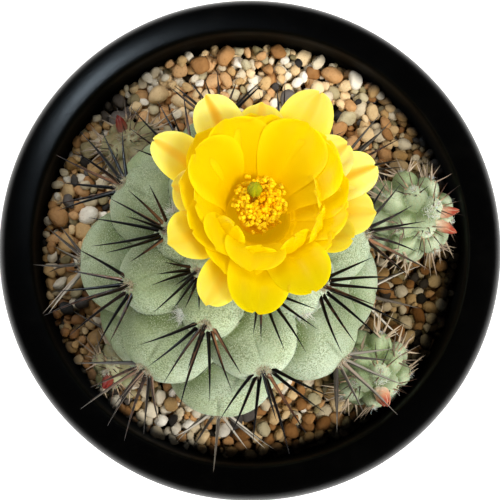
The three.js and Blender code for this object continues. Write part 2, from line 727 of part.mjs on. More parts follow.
function makeMix() {
  const random = makeRandom(2718);
  const edge = innerRadius(MIX_LEVEL) - GAP - 0.1;
  const points = [];
  const faces = [];
  // Points past the wall are drawn in to it, so that the grains there are cut off by the wall
  const addPoint = (x, y, z) => {
    const share = Math.min(1, edge / Math.hypot(x, y));
    return points.push(vec(x * share, y * share, z)) - 1;
  };
  // Corners are shared by the grains that meet there, so each is found by its place on the lattice
  const corners = new Map();
  const cornerAt = (x, y) => {
    const key = `${Math.round(x * 4)},${Math.round(y * 4)}`;
    if (!corners.has(key)) {
      const sink = GRAIN_GROOVE + random.spread(0.25);
      corners.set(key, addPoint(x + random.spread(0.35), y + random.spread(0.35), MIX_LEVEL - sink));
    }
    return corners.get(key);
  };
  const outline = new Map(); // edges met only once
  const addFace = (a, b, c) => {
    faces.push([a, b, c]);
    for (const [p, q] of [[a, b], [b, c], [c, a]]) {
      if (!outline.delete(`${q},${p}`)) outline.set(`${p},${q}`, [p, q]);
    }
  };
  const side = GRAIN_PITCH / Math.sqrt(3);
  const reach = Math.ceil(edge / GRAIN_PITCH) + 2;
  for (let row = -reach; row <= reach; row++) {
    for (let column = -reach; column <= reach; column++) {
      const x = (column + (Math.abs(row) % 2) / 2) * GRAIN_PITCH;
      const y = (row * GRAIN_PITCH * Math.sqrt(3)) / 2;
      if (Math.hypot(x, y) > edge + 0.2 * GRAIN_PITCH) continue;
      const top = MIX_LEVEL + GRAIN_RISE + random.spread(0.45);
      const crest = addPoint(x + random.spread(0.4), y + random.spread(0.4), top);
      const rim = [];
      const shoulders = [];
      for (let i = 0; i < 6; i++) {
        const turn = rad(60 * i + 30);
        const shoulder = side * (0.66 + random.spread(0.1));
        const drop = 0.35 + random.spread(0.2);
        rim.push(cornerAt(x + side * Math.cos(turn), y + side * Math.sin(turn)));
        shoulders.push(addPoint(x + shoulder * Math.cos(turn), y + shoulder * Math.sin(turn), top - drop));
      }
      for (let i = 0; i < 6; i++) {
        const j = (i + 1) % 6;
        addFace(crest, shoulders[i], shoulders[j]);
        addFace(shoulders[i], rim[i], rim[j]);
        addFace(shoulders[i], rim[j], shoulders[j]);
      }
    }
  }
  // Below the outline the mix narrows with the pot, down to the pot's floor
  const floorLevel = BASE_LEVEL + 1 + GAP;
  const narrowing = (INNER_FOOT_RADIUS - GAP - 0.1) / edge;
  const foot = new Map();
  for (const [p] of outline.values()) {
    foot.set(p, points.push(vec(points[p].x * narrowing, points[p].y * narrowing, floorLevel)) - 1);
  }
  const middle = points.push(vec(0, 0, floorLevel)) - 1;
  for (const [p, q] of outline.values()) {
    faces.push([q, p, foot.get(p)], [q, foot.get(p), foot.get(q)], [foot.get(q), foot.get(p), middle]);
  }
  let mix = solidFromPoints(points, faces);
  for (const stem of allStems) {
    mix = mix.subtract(ballSolid(stem, STEM_HOLE_ROOM, stem === motherStem ? 28 : 12));
  }
  return mainBody(mix.subtract(rootSolid(0.5)));
}

// Assembly
const group = new THREE.Group();
const COLOURS = {
  pot: [0x17181a, 0.42],
  mix: [0xb99a72, 0.95],
  stem: [0x9db08b, 0.8],
  offset: [0xa5b994, 0.8],
  petal: [0xfbe005, 0.5],
  tube: [0xa9b86a, 0.6],
  stamen: [0xf5a60a, 0.7],
  pistil: [0x8aa33a, 0.6],
  bud: [0xcf5a48, 0.6],
};

function addPiece(name, solid, finish) {
  const [color, roughness] = COLOURS[finish];
  const material = new THREE.MeshStandardMaterial({ color, roughness, metalness: 0 });
  const mesh = new THREE.Mesh(geometryOf(solid), material);
  mesh.name = name;
  group.add(mesh);
}

addPiece("pot", makePot(), "pot");
addPiece("potting_mix", makeMix(), "mix");
addPiece(motherStem.name, makeMother(), "stem");
for (const stem of offsetStems) addPiece(stem.name, makeOffset(stem), "offset");
BUDS.forEach((bud, i) => addPiece(bud.name, budSolids[i], "bud"));
addPiece("flower_tube", mainBody(makeTube().subtract(motherRoom)), "tube");
addPiece("flower_petals", makePetals(), "petal");
addPiece("flower_stamens", makeStamens(), "stamen");
addPiece("flower_pistil", makePistil(), "pistil");

export default group;
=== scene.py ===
# A small globular cactus in flower, in a round black pot of gritty mix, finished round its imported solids.
# Sizes are in millimetres up to the moment a mesh is made. -Y is the side nearest to a person looking down.
import math
from types import SimpleNamespace

import bmesh
import bpy
import numpy as np
from mathutils import Matrix, Vector


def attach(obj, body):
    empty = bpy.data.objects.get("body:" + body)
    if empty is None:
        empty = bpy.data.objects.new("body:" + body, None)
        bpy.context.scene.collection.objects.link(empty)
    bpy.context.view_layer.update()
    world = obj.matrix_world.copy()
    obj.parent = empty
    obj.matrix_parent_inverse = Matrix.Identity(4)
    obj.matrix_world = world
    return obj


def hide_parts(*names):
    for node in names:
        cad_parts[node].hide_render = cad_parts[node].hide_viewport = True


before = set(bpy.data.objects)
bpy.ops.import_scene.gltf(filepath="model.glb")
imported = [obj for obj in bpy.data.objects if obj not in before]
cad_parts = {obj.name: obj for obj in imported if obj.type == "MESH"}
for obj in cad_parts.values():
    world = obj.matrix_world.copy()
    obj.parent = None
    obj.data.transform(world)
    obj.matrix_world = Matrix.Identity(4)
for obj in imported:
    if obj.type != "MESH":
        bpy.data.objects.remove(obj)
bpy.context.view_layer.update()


# Camera, floor and light
# The plant stands on a plain pale floor and is seen from almost straight above. The light is soft: a strong
# lamp high at the front right, weaker and wider ones behind and at the left, and light from all round. Two
# more give only gloss: a faint one where the strong one is, and a small cool one near the rim's back left.
SENSOR = 36
CAMERA_ELEVATION = 86.3
CAMERA_DISTANCE = 0.33
RIM_CENTRE = Vector((0, -0.0002, 0.0595))
RIM_SHARE = 1.005  # of the picture's half width that the pot's rim takes up
POT_RIM = 35

camera = bpy.data.objects.new("camera", bpy.data.cameras.new("camera"))
camera.data.sensor_width = SENSOR
camera.data.lens = RIM_SHARE * SENSOR / 2 * CAMERA_DISTANCE / (POT_RIM / 1000)
camera.data.clip_start = 0.01
up = math.radians(CAMERA_ELEVATION)
backwards = Vector((0, -math.cos(up), math.sin(up)))
camera.location = RIM_CENTRE + CAMERA_DISTANCE * backwards
camera.rotation_mode = "QUATERNION"
camera.rotation_quaternion = (-backwards).to_track_quat("-Z", "Y")
bpy.context.scene.collection.objects.link(camera)
bpy.context.scene.camera = camera
bpy.context.scene.view_settings.view_transform = "Standard"


def add_lamp(name, azimuth, elevation, distance, size, brightness, tint, gives):
    """A round lamp that gives diffuse or glossy light. Brightness 1 lights a white card to plain white."""
    data = bpy.data.lights.new(name, "AREA")
    data.shape = "DISK"
    data.size = size
    data.energy = brightness * math.pi**2 * distance**2
    data.color = tint
    lamp = bpy.data.objects.new(name, data)
    turn, rise = math.radians(azimuth), math.radians(elevation)
    towards = Vector((math.cos(turn) * math.cos(rise), math.sin(turn) * math.cos(rise), math.sin(rise)))
    lamp.location = RIM_CENTRE + distance * towards
    lamp.rotation_euler = towards.to_track_quat("Z", "Y").to_euler()
    lamp.visible_camera = False
    lamp.visible_diffuse = gives == "diffuse"
    lamp.visible_glossy = gives == "glossy"
    bpy.context.scene.collection.objects.link(lamp)


WARM = (1, 0.99, 0.97)
add_lamp("lamp_key", -28, 51, 0.7, 0.26, 1.2, WARM, "diffuse")
add_lamp("lamp_back", 100, 58, 0.7, 0.4, 0.46, WARM, "diffuse")
add_lamp("lamp_left", 165, 46, 0.7, 0.4, 0.2, WARM, "diffuse")
add_lamp("lamp_key_glint", -28, 51, 0.7, 0.12, 0.025, (1, 1, 1), "glossy")
add_lamp("lamp_rim_glint", 130, 47.5, 0.16, 0.035, 0.8, (0.72, 0.87, 1), "glossy")

world = bpy.data.worlds.new("studio")
bpy.context.scene.world = world
world.use_nodes = True
world.node_tree.nodes["Background"].inputs["Color"].default_value = (0.22, 0.214, 0.198, 1)
world.cycles_visibility.glossy = False


class Wire:
    """An output of one of a finish's nodes. Sums on wires add Math nodes."""

    def __init__(self, tree, socket):
        self.tree = tree
        self.socket = socket

    def node(self, kind, settings=(), inputs=(), output=0):
        made = self.tree.nodes.new("ShaderNode" + kind)
        for name, value in dict(settings).items():
            if name == "stops":
                made.color_ramp.elements[0].position, made.color_ramp.elements[0].color = value[0]
                made.color_ramp.elements[1].position, made.color_ramp.elements[1].color = value[-1]
                for position, colour in value[1:-1]:
                    made.color_ramp.elements.new(position).color = colour
            else:
                setattr(made, name, value)
        for name, value in dict(inputs).items():
            if isinstance(value, Wire):
                self.tree.links.new(value.socket, made.inputs[name])
            else:
                made.inputs[name].default_value = value
        return Wire(self.tree, made.outputs[output])

    def maths(self, operation, first, second):
        return self.node("Math", {"operation": operation}, {0: first, 1: second})

    def __add__(self, other):
        return self.maths("ADD", self, other)

    def __sub__(self, other):
        return self.maths("SUBTRACT", self, other)

    def __rsub__(self, other):
        return self.maths("SUBTRACT", other, self)

    def __mul__(self, other):
        return self.maths("MULTIPLY", self, other)

    __radd__ = __add__
    __rmul__ = __mul__

    def step(self, low, high):
        """Rises smoothly from 0 where the wire is low to 1 where it is high."""
        settings = {"interpolation_type": "SMOOTHSTEP"}
        return self.node("MapRange", settings, {"Value": self, "From Min": low, "From Max": high})

    def mix(self, first, second, mode="MIX"):
        """The first colour where the wire is 0, the second where it is 1, as wires or screen colours."""
        settings = {"data_type": "RGBA", "blend_type": mode}
        first, second = (c if isinstance(c, Wire) else srgb(*c) for c in (first, second))
        return self.node("Mix", settings, {0: self, 6: first, 7: second}, 2)

    def ramp(self, *stops):
        """Screen colours, each after the wire's value where it stands."""
        stops = [(value, srgb(*colour)) for value, colour in stops]
        return self.node("ValToRGB", {"stops": stops}, {0: self})

    def noise(self, scale, detail=3, roughness=0.55):
        inputs = {"Vector": self, "Scale": scale, "Detail": detail, "Roughness": roughness}
        return self.node("TexNoise", {}, inputs)

    def cells(self, scale):
        return self.node("TexVoronoi", {}, {"Vector": self, "Scale": scale})

    def stretched(self, x, y, z):
        return self.node("VectorMath", {"operation": "MULTIPLY"}, {0: self, 1: (x, y, z)})

    def mark(self, name):
        """A value that the mesh carries at its points."""
        return self.node("Attribute", {"attribute_name": name}, {}, "Fac")

    def bump(self, depth):
        """The surface's normal, raised by the wire times the depth in millimetres."""
        return self.node("Bump", {}, {"Height": self, "Distance": depth / 1000, "Strength": 1.0})


def srgb(red, green, blue):
    """A colour as seen on a screen, 0 to 255, in the values that shaders use."""
    linear = [c / 3294.6 if c < 11 else ((c / 255 + 0.055) / 1.055) ** 2.4 for c in (red, green, blue)]
    return (*linear, 1)


def start_finish(name, fixed):
    """A new finish with fixed values on its shader, and a wire with the place on the piece."""
    material = bpy.data.materials.new(name)
    material.use_nodes = True
    tree = material.node_tree
    for socket, value in fixed.items():
        tree.nodes["Principled BSDF"].inputs[socket].default_value = value
    return material, Wire(tree, tree.nodes.new("ShaderNodeTexCoord").outputs["Object"])


def end_finish(material, colour, roughness, normal=None, painted_glow=None):
    """Feeds the finish's shader with what changes over the surface."""
    sockets = material.node_tree.nodes["Principled BSDF"].inputs
    wires = {"Base Color": colour, "Roughness": roughness, "Normal": normal, "Emission Color": painted_glow}
    for name, wire in wires.items():
        if wire:
            material.node_tree.links.new(wire.socket, sockets[name])
    return material


floor_finish, place = start_finish(
    "floor_paper", {"Specular IOR Level": 0.1, "Emission Color": (1, 1, 1, 1), "Emission Strength": 0.78}
)
paper = place.noise(30).ramp((0.3, (226, 226, 226)), (0.7, (231, 231, 230)))
end_finish(floor_finish, paper, place.noise(200) * 0.1 + 0.8)
FLOOR_SIZE = 8
bpy.ops.mesh.primitive_plane_add(size=FLOOR_SIZE)
floor = bpy.context.object
floor.name = "floor"
floor.data.materials.append(floor_finish)


# The pot
# A round nursery pot of black plastic, injection moulded in one piece: a tapering wall under a rolled rim,
# a foot ring with four notches, and a raised floor with seven drain holes.
POT_HEIGHT = 62
RIM_WIDTH = 5.1
RIM_DEPTH = 5.6
FOOT_RADIUS = 24
WALL = 1.7
BASE_LEVEL = 4
FOOT_RISE = 2
RIM_INNER = POT_RIM - RIM_WIDTH
INNER_FOOT = FOOT_RADIUS - WALL - 0.4
POT_SIDES = 180


def inner_radius(height):
    """Inside radius of the pot at a height."""
    share = (height - BASE_LEVEL) / (POT_HEIGHT - RIM_DEPTH - BASE_LEVEL)
    return INNER_FOOT + np.minimum(share, 1) * (RIM_INNER - 0.3 - INNER_FOOT)


def grid_faces(rows, columns, closed):
    """Triangles between the points of a grid. Closed joins its last column to its first."""
    i, j = np.meshgrid(np.arange(rows - 1), np.arange(columns - (not closed)), indexing="ij")
    a = (i * columns + j).ravel()
    b = (i * columns + (j + 1) % columns).ravel()
    return np.concatenate([np.stack([a, b, b + columns], 1), np.stack([a, b + columns, a + columns], 1)])


def shell_faces(rings, sides):
    """Triangles of a closed shell: rings of points from end to end, then its first and its last pole."""
    here = np.arange(sides)
    following = (here + 1) % sides
    last = (rings - 1) * sides
    first_pole = np.full(sides, rings * sides)
    start = np.stack([first_pole, following, here], 1)
    end = np.stack([first_pole + 1, last + here, last + following], 1)
    return np.concatenate([grid_faces(rings, sides, True), start, end])


def outward(points, faces):
    """The faces of a closed shell, turned so that they all face out."""
    a, b, c = points[faces[:, 0]], points[faces[:, 1]], points[faces[:, 2]]
    return faces if np.sum(a * np.cross(b, c)) > 0 else faces[:, ::-1]


def turned(profile, sides):
    """A block of [radius, height] points that start and end on the axis, turned about +Z."""
    profile = np.array(profile, float)
    turn = np.linspace(0, 2 * np.pi, sides, endpoint=False)
    radius, height = profile[1:-1, 0:1], profile[1:-1, 1:2]
    rings = np.stack([radius * np.cos(turn), radius * np.sin(turn), height + 0 * turn], 2).reshape(-1, 3)
    poles = [[0, 0, profile[0, 1]], [0, 0, profile[-1, 1]]]
    points = np.concatenate([rings, poles])
    return {"points": points, "faces": outward(points, shell_faces(len(profile) - 2, sides))}


def softened(corners, reach):
    """A line with each inner corner rounded off within reach of it."""
    corners = np.array(corners, float)
    line = [corners[0]]
    for before, corner, after in zip(corners, corners[1:], corners[2:]):
        ends = []
        for other in (before, after):
            length = np.linalg.norm(other - corner)
            ends.append(corner + (other - corner) * min(reach / length, 0.45))
        for share in np.linspace(0, 1, 5):
            line.append((1 - share) ** 2 * ends[0] + 2 * share * (1 - share) * corner + share**2 * ends[1])
    return line + [corners[-1]]


def add_piece(name, blocks, finish, nodes=()):
    """One mesh, riding on the root body, of blocks with points in millimetres, faces and marks."""
    starts = np.cumsum([0] + [len(block["points"]) for block in blocks])
    points = np.concatenate([block["points"] for block in blocks]) / 1000
    faces = np.concatenate([block["faces"] + start for block, start in zip(blocks, starts)])
    mesh = bpy.data.meshes.new(name)
    mesh.vertices.add(len(points))
    mesh.vertices.foreach_set("co", points.astype(np.float32).ravel())
    mesh.loops.add(3 * len(faces))
    mesh.loops.foreach_set("vertex_index", faces.astype(np.int32).ravel())
    mesh.polygons.add(len(faces))
    mesh.polygons.foreach_set("loop_start", np.arange(0, 3 * len(faces), 3, dtype=np.int32))
    mesh.polygons.foreach_set("use_smooth", np.ones(len(faces), bool))
    for mark in sorted(set(blocks[0]) - {"points", "faces"}):
        values = [np.broadcast_to(block[mark], len(block["points"])) for block in blocks]
        carried = mesh.attributes.new(mark, "FLOAT", "POINT")
        carried.data.foreach_set("value", np.concatenate(values).astype(np.float32))
    mesh.update(calc_edges=True)
    mesh.materials.append(finish)
    piece = bpy.data.objects.new(name, mesh)
    bpy.context.scene.collection.objects.link(piece)
    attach(piece, "root")
    if nodes:
        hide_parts(*nodes)
    return piece


RIM_CREST = 30.5  # radius of the highest line of the rim
RIM_SLOPE = 0.08  # of its outer face at the crest
RIM_BEND = 0.06  # half of how much steeper the slope gets with each millimetre
RIM_FALL = 3.2  # from the crest to the rim's outer edge
RIM_INNER_FALL = 1.3
rim_base = POT_HEIGHT - RIM_DEPTH
crown = []
face_width = POT_RIM - RIM_CREST
edge_fall = RIM_FALL - RIM_SLOPE * face_width - RIM_BEND * face_width**2
for t in np.radians(np.linspace(0, 90, 18, endpoint=False)):
    out = face_width * math.cos(t)
    fall = RIM_SLOPE * out + RIM_BEND * out**2 + edge_fall * math.cos(t) ** 12
    crown.append((RIM_CREST + out, POT_HEIGHT - fall))
for t in np.radians(np.linspace(90, 180, 9)):
    inwards = (RIM_CREST - RIM_INNER) * math.cos(t)
    crown.append((RIM_CREST + inwards, POT_HEIGHT - RIM_INNER_FALL * (1 - math.sin(t))))
below_rim = [
    (0, FOOT_RISE), (FOOT_RADIUS - 4.6, FOOT_RISE), (FOOT_RADIUS - 4, 0), (FOOT_RADIUS - 0.6, 0),
    (FOOT_RADIUS, 0.6), (inner_radius(rim_base) + WALL, rim_base - 0.6), (POT_RIM - 0.7, rim_base), crown[0],
]
inside_rim = [
    crown[-1], (RIM_INNER - 0.3, rim_base), (INNER_FOOT, BASE_LEVEL + 1), (INNER_FOOT - 1, BASE_LEVEL),
    (0, BASE_LEVEL),
]
pot_profile = softened(below_rim, 0.5) + crown[1:-1] + softened(inside_rim, 0.6)

# Dust lies in streaks and specks, mostly near the foot. The wall over the mix is duller than the rim.
black_plastic, place = start_finish("black_plastic", {"Specular IOR Level": 0.1, "IOR": 1.5})
streaks = place.stretched(1, 1, 0.12).noise(260, 4).step(0.5, 0.75)
specks = place.noise(900, 2).step(0.66, 0.74)
height = place.node("SeparateXYZ", {}, {0: place}, "Z")
dusty = (1 - height.step(0.0, 0.022)) * 0.5 + 0.012
dust = (streaks * 0.55 + specks * 0.7) * dusty
scratches = place.stretched(1, 1, 6).noise(500, 6, 0.7)
from_axis = place.node("VectorMath", {"operation": "LENGTH"}, {0: place.stretched(1, 1, 0)}, 1)
over_mix = (1 - from_axis.step(0.0297, 0.0303)) * height.step(0.05, 0.052)
rough = place.noise(120, 4) * 0.14 + dust * 0.5 + over_mix * 0.5 + 0.24
relief = place.noise(2600, 2) * 0.35 + scratches * 0.65
end_finish(black_plastic, dust.mix((2, 2, 2), (84, 78, 70)), rough, relief.bump(0.03))

pot = add_piece("pot_body", [turned(pot_profile, POT_SIDES)], black_plastic, ["pot"])
DRAINS = [(0, 0, 0.003)] + [(0.012, 60 * i + 30, 0.0024) for i in range(6)]  # off axis, azimuth, radius
DRAIN_CUT = 0.008
NOTCHES = (45, 135, 225, 315)
NOTCH_SIZE = (0.009, 0.005, 0.0024)
NOTCH_OFF_AXIS = 0.022
cutters = bmesh.new()
for away, azimuth, radius in DRAINS:
    turn = math.radians(azimuth)
    to_drain = Matrix.Translation((away * math.cos(turn), away * math.sin(turn), 0.003))
    bmesh.ops.create_cone(
        cutters, cap_ends=True, segments=40, radius1=radius, radius2=radius, depth=DRAIN_CUT, matrix=to_drain
    )
for azimuth in NOTCHES:
    to_notch = Matrix.Rotation(math.radians(azimuth), 4, "Z") @ Matrix.Translation((NOTCH_OFF_AXIS, 0, 0))
    bmesh.ops.create_cube(cutters, size=1, matrix=to_notch @ Matrix.Diagonal((*NOTCH_SIZE, 1)))
cutter_mesh = bpy.data.meshes.new("drain_cutters")
cutters.to_mesh(cutter_mesh)
cutters.free()
cutter = bpy.data.objects.new("drain_cutters", cutter_mesh)
bpy.context.scene.collection.objects.link(cutter)
cut = pot.modifiers.new("drains", "BOOLEAN")
cut.object = cutter
cut.solver = "EXACT"
bpy.context.view_layer.update()
pot.data = bpy.data.meshes.new_from_object(pot.evaluated_get(bpy.context.evaluated_depsgraph_get()))
pot.modifiers.clear()
bpy.data.objects.remove(cutter)
pot.data.shade_smooth()
pot.data.set_sharp_from_angle(angle=math.radians(38))


# The soil under the grit
# A brown, free-draining mix fills the pot to almost nine millimetres under the rim. It shows only between
# the grains on top and through the drain holes.
MIX_LEVEL = 55
SOIL_LEVEL = MIX_LEVEL - 1.6
rng = np.random.default_rng(11)
soil_edge = inner_radius(SOIL_LEVEL) - 0.15
soil_profile = [
    (0, BASE_LEVEL + 0.4), (INNER_FOOT - 1.2, BASE_LEVEL + 0.4), (INNER_FOOT - 0.1, BASE_LEVEL + 1.2),
    *((inner_radius(z) - 0.15, z) for z in np.linspace(6, SOIL_LEVEL, 16)),
    *((r, SOIL_LEVEL) for r in np.linspace(soil_edge, 0.4, 60)),
    (0, SOIL_LEVEL),
]
soil = turned(soil_profile, 200)
on_top = soil["points"][:, 2] > SOIL_LEVEL - 0.01
soil["points"][on_top, 2] += rng.uniform(-0.3, 0.3, on_top.sum())

soil_brown, place = start_finish("soil_brown", {"Specular IOR Level": 0.2})
crumbs = place.cells(900) + place.noise(2500) * 0.5
brown = place.noise(500, 5).ramp((0.3, (20, 15, 10)), (0.75, (70, 54, 36)))
end_finish(soil_brown, brown, place.noise(700) * 0.15 + 0.82, crumbs.bump(0.4))
add_piece("soil", [soil], soil_brown, ["potting_mix"])


# The mother plant's skin
# One squat globe of grey-green flesh with a waxy bloom. Its skin rises into broad low tubercles in a
# golden-angle spiral, each lapping a little over the next one out, with fine creases between them. Painted
# shade darkens the creases and grooves, where another tubercle laps over, and the side away from the sun;
# painted light pales the sunny side and each tubercle's outer edge.
GOLDEN_ANGLE = 137.5
SUN = np.array([0.76, -0.6, 0.25])  # the way that the skin's painted light and shade come from
TUBERCLE_LENGTH = 0.66  # half length, over the spacing
TUBERCLE_WIDTH = 0.6  # half width, over the spacing
TUBERCLE_TILT = 0.55  # how much it rises outwards, so that its outer edge laps over the next
TUBERCLE_ROUNDNESS = 0.45  # share of its fall that is round, the rest is steep at the edge
AREOLE_SHIFT = 0.33  # from its middle out to its areole, over the spacing
CREASE_ROUNDING = 0.07  # on a stem of radius 20
FAR_BELOW = -1e6  # height of a tubercle that a direction doesn't reach


def ball(cuts):
    """Directions spread evenly over a ball and the triangles between them, 20 times the cuts squared."""
    shape = bmesh.new()
    bmesh.ops.create_icosphere(shape, subdivisions=1, radius=1)
    corners = np.array([[v.co.normalized() for v in face.verts] for face in shape.faces])
    shape.free()
    i, j = np.meshgrid(np.arange(cuts + 1), np.arange(cuts + 1), indexing="ij")
    inside = i + j <= cuts
    number = np.full(inside.shape, -1)
    number[inside] = np.arange(inside.sum())
    shares = np.stack([cuts - i - j, i, j], 2)[inside] / cuts
    a, b, c, d = number[:-1, :-1], number[1:, :-1], number[:-1, 1:], number[1:, 1:]
    upright = np.stack([a, b, c], 2)[c >= 0]
    upright = upright[(upright >= 0).all(1)]
    inverted = np.stack([b, d, c], 2)[d >= 0]
    faces = np.concatenate([upright, inverted])
    points = np.einsum("ps,fsk->fpk", shares, corners)
    faces = (faces[None] + np.arange(20)[:, None, None] * len(shares)).reshape(-1, 3)
    points = points.reshape(-1, 3)
    points /= np.linalg.norm(points, axis=1, keepdims=True)
    _, kept, stands_for = np.unique(np.round(points, 5), axis=0, return_index=True, return_inverse=True)
    return points[kept], outward(points[kept], stands_for.ravel()[faces])


def make_stem(
    centre, radius, flatten, lean, lean_azimuth, first_azimuth, polar, spacing, relief, seed, spines, dry=0
):
    """A stem's ball, and the directions of its tubercles: out of it, down along it and to the side.

    Its relief is the tubercles' height over their spacing, and the deepest crease over the stem's radius. Dry
    is how far its skin has browned, up to 1.
    """
    axis = Vector((-math.sin(math.radians(lean_azimuth)), math.cos(math.radians(lean_azimuth)), 0))
    azimuth = np.radians(first_azimuth - GOLDEN_ANGLE * np.arange(len(polar)))
    p = np.radians(polar)
    return SimpleNamespace(
        centre=np.array(centre, float),
        radius=radius,
        flatten=flatten,
        turn=np.array(Matrix.Rotation(math.radians(lean), 3, axis)),
        spacing=np.array(spacing, float),
        out=np.stack([np.sin(p) * np.cos(azimuth), np.sin(p) * np.sin(azimuth), np.cos(p)], 1),
        down=np.stack([np.cos(p) * np.cos(azimuth), np.cos(p) * np.sin(azimuth), -np.sin(p)], 1),
        side=np.stack([-np.sin(azimuth), np.cos(azimuth), 0 * p], 1),
        height=relief[0],
        deepest=relief[1] * radius,
        seed=seed,
        spines=spines,
        dry=dry,
    )


def on_tubercles(stem, directions):
    """How far across and along each tubercle a direction is, in half sizes, and its dome's height there."""
    across = stem.radius * directions @ stem.side.T / (TUBERCLE_WIDTH * stem.spacing)
    outwards = stem.radius * directions @ stem.down.T + AREOLE_SHIFT * stem.spacing
    along = outwards / (TUBERCLE_LENGTH * stem.spacing)
    away = across**2 + along**2
    fall = TUBERCLE_ROUNDNESS * away + (1 - TUBERCLE_ROUNDNESS) * away**2 - TUBERCLE_TILT * along
    height = np.where(directions @ stem.out.T < 0.2, FAR_BELOW, -fall * stem.height * stem.spacing)
    return across, along, height


def ball_radius(stem, directions):
    x, y, z = directions.T
    return 1 / np.hypot(np.hypot(x, y) / stem.radius, z / (stem.radius * stem.flatten))


def skin_radius(stem, directions):
    """Distance from a stem's centre to its skin, in directions of its own frame."""
    highest = on_tubercles(stem, directions)[2].max(1)
    return ball_radius(stem, directions) + np.maximum(highest, -stem.deepest)


def placed(stem, local):
    return local @ stem.turn.T + stem.centre


def skin_block(stem, cuts):
    """The skin with its creases, areole hollows and grooves, and marks for what its finish needs."""
    directions, faces = ball(cuts)
    across, along, height = on_tubercles(stem, directions)
    own = height.argmax(1)
    rows = np.arange(len(own))
    ordered = np.sort(height, 1)
    gap = ordered[:, -1] - ordered[:, -2]
    rounding = CREASE_ROUNDING * stem.radius / 20
    highest = np.maximum(ordered[:, -1], -stem.deepest)
    rounded_off = rounding * np.log1p(np.exp(-np.minimum(gap / rounding, 30)))
    spacing = stem.spacing[own]
    areole_along = AREOLE_SHIFT / TUBERCLE_LENGTH
    x = across[rows, own] * TUBERCLE_WIDTH * spacing
    y = (along[rows, own] - areole_along) * TUBERCLE_LENGTH * spacing
    from_areole = np.hypot(x, y)
    hollow = 0.32 * np.exp(-((from_areole / (0.085 * spacing)) ** 2))
    groove = np.exp(-((x / (0.018 * spacing)) ** 2)) * np.clip(-y / spacing * 4, 0, 1)
    groove = groove * np.clip((y / spacing + 0.55) * 4, 0, 1)
    distance = ball_radius(stem, directions) + highest + rounded_off - hollow - 0.16 * groove
    # Painted shade where another tubercle laps over, most on the inner side and the side away from the sun.
    sun = SUN @ stem.turn
    sunward = across[rows, own] * (stem.side[own] @ sun) + along[rows, own] * (stem.down[own] @ sun)
    from_others = np.where(height > FAR_BELOW, np.hypot(across, along), np.inf)
    from_others[rows, own] = np.inf
    lapped = np.exp(-((np.maximum(from_others.min(1) - 0.86, 0) * stem.height / 0.12) ** 1.6))
    return {
        "points": placed(stem, directions * distance[:, None]),
        "faces": faces,
        # Marks for painted shade in the creases and under lapping tubercles.
        "crease": np.exp(-np.maximum(gap, 0) / (0.034 * spacing)),
        "shade": lapped * np.clip(0.7 - along[rows, own] - 0.5 * sunward, 0.06, 1),
        "young": np.clip(directions[:, 2], 0, 1) ** 3,
        "groove": groove,
        "outer": along[rows, own],
        "areole": np.exp(-((from_areole / (0.1 * spacing)) ** 2)),
        "tone": np.random.default_rng(stem.seed).uniform(0, 1, len(stem.spacing))[own],
        "low": np.clip(-directions[:, 2], 0, 1),
        "dry": stem.dry,
        # How far the skin faces the sun, for painted light on that side and painted shade on the other.
        "sunny": 0.5 + 0.5 * directions @ stem.turn.T @ SUN,
    }


def skin_finish(name, lit, deep, pale, stipple):
    """Waxy skin: green flesh under pale bloom, stippled with pale warts, with painted light and shade."""
    settings = {"Specular IOR Level": 0.25, "Subsurface Weight": 0.1, "Subsurface Scale": 0.001}
    material, place = start_finish(name, settings)
    patches = place.noise(150, 3).step(0.32, 0.68)
    clouds = place.noise(75, 2).step(0.42, 0.7)
    warts = 1 - place.cells(5000).step(0.16, 0.46)
    grain = place.noise(5200, 2)
    worn = place.noise(260, 3).step(0.38, 0.62)
    flesh = patches.mix(lit, pale)
    flesh = (place.mark("tone") * 0.18 + clouds * 0.22).mix(flesh, deep)
    # Painted shade on the side away from the sun, painted light on the sunny side.
    flesh = ((1 - place.mark("sunny").step(0.0, 0.75)) * 0.28).mix(flesh, deep)
    flesh = (place.mark("sunny").step(0.5, 1.0) * 0.35).mix(flesh, pale)
    flesh = (place.mark("young") * 0.4).mix(flesh, pale)
    # Painted highlight along each tubercle's outer edge.
    flesh = (place.mark("outer").step(0.35, 0.95) * 0.5).mix(flesh, pale)
    # Painted shade where another tubercle laps over.
    flesh = (place.mark("shade") * 0.92).mix(flesh, deep)
    flesh = (grain.step(0.42, 0.6) * (worn * 0.3 + 0.36) * stipple).mix(flesh, deep)
    flesh = (warts * (worn * 0.3 + 0.2) * stipple).mix(flesh, (216, 226, 196))
    # Painted shade in the creases and the grooves.
    flesh = (place.mark("crease").step(0.55, 0.95) * 0.85).mix(flesh, (52, 60, 30))
    flesh = (place.mark("groove").step(0.2, 1.0) * 0.5).mix(flesh, (84, 98, 60))
    flesh = (place.mark("areole").step(0.35, 0.9) * 0.6).mix(flesh, (150, 134, 104))
    flesh = (place.mark("low").step(0.25, 0.7) * 0.6).mix(flesh, (120, 108, 72))
    flesh = (place.mark("dry") * (patches * 0.3 + 0.7)).mix(flesh, (146, 128, 92))
    relief = grain * 0.3 + warts * 0.7
    return end_finish(material, flesh, grain * 0.2 + 0.5, relief.bump(0.07))


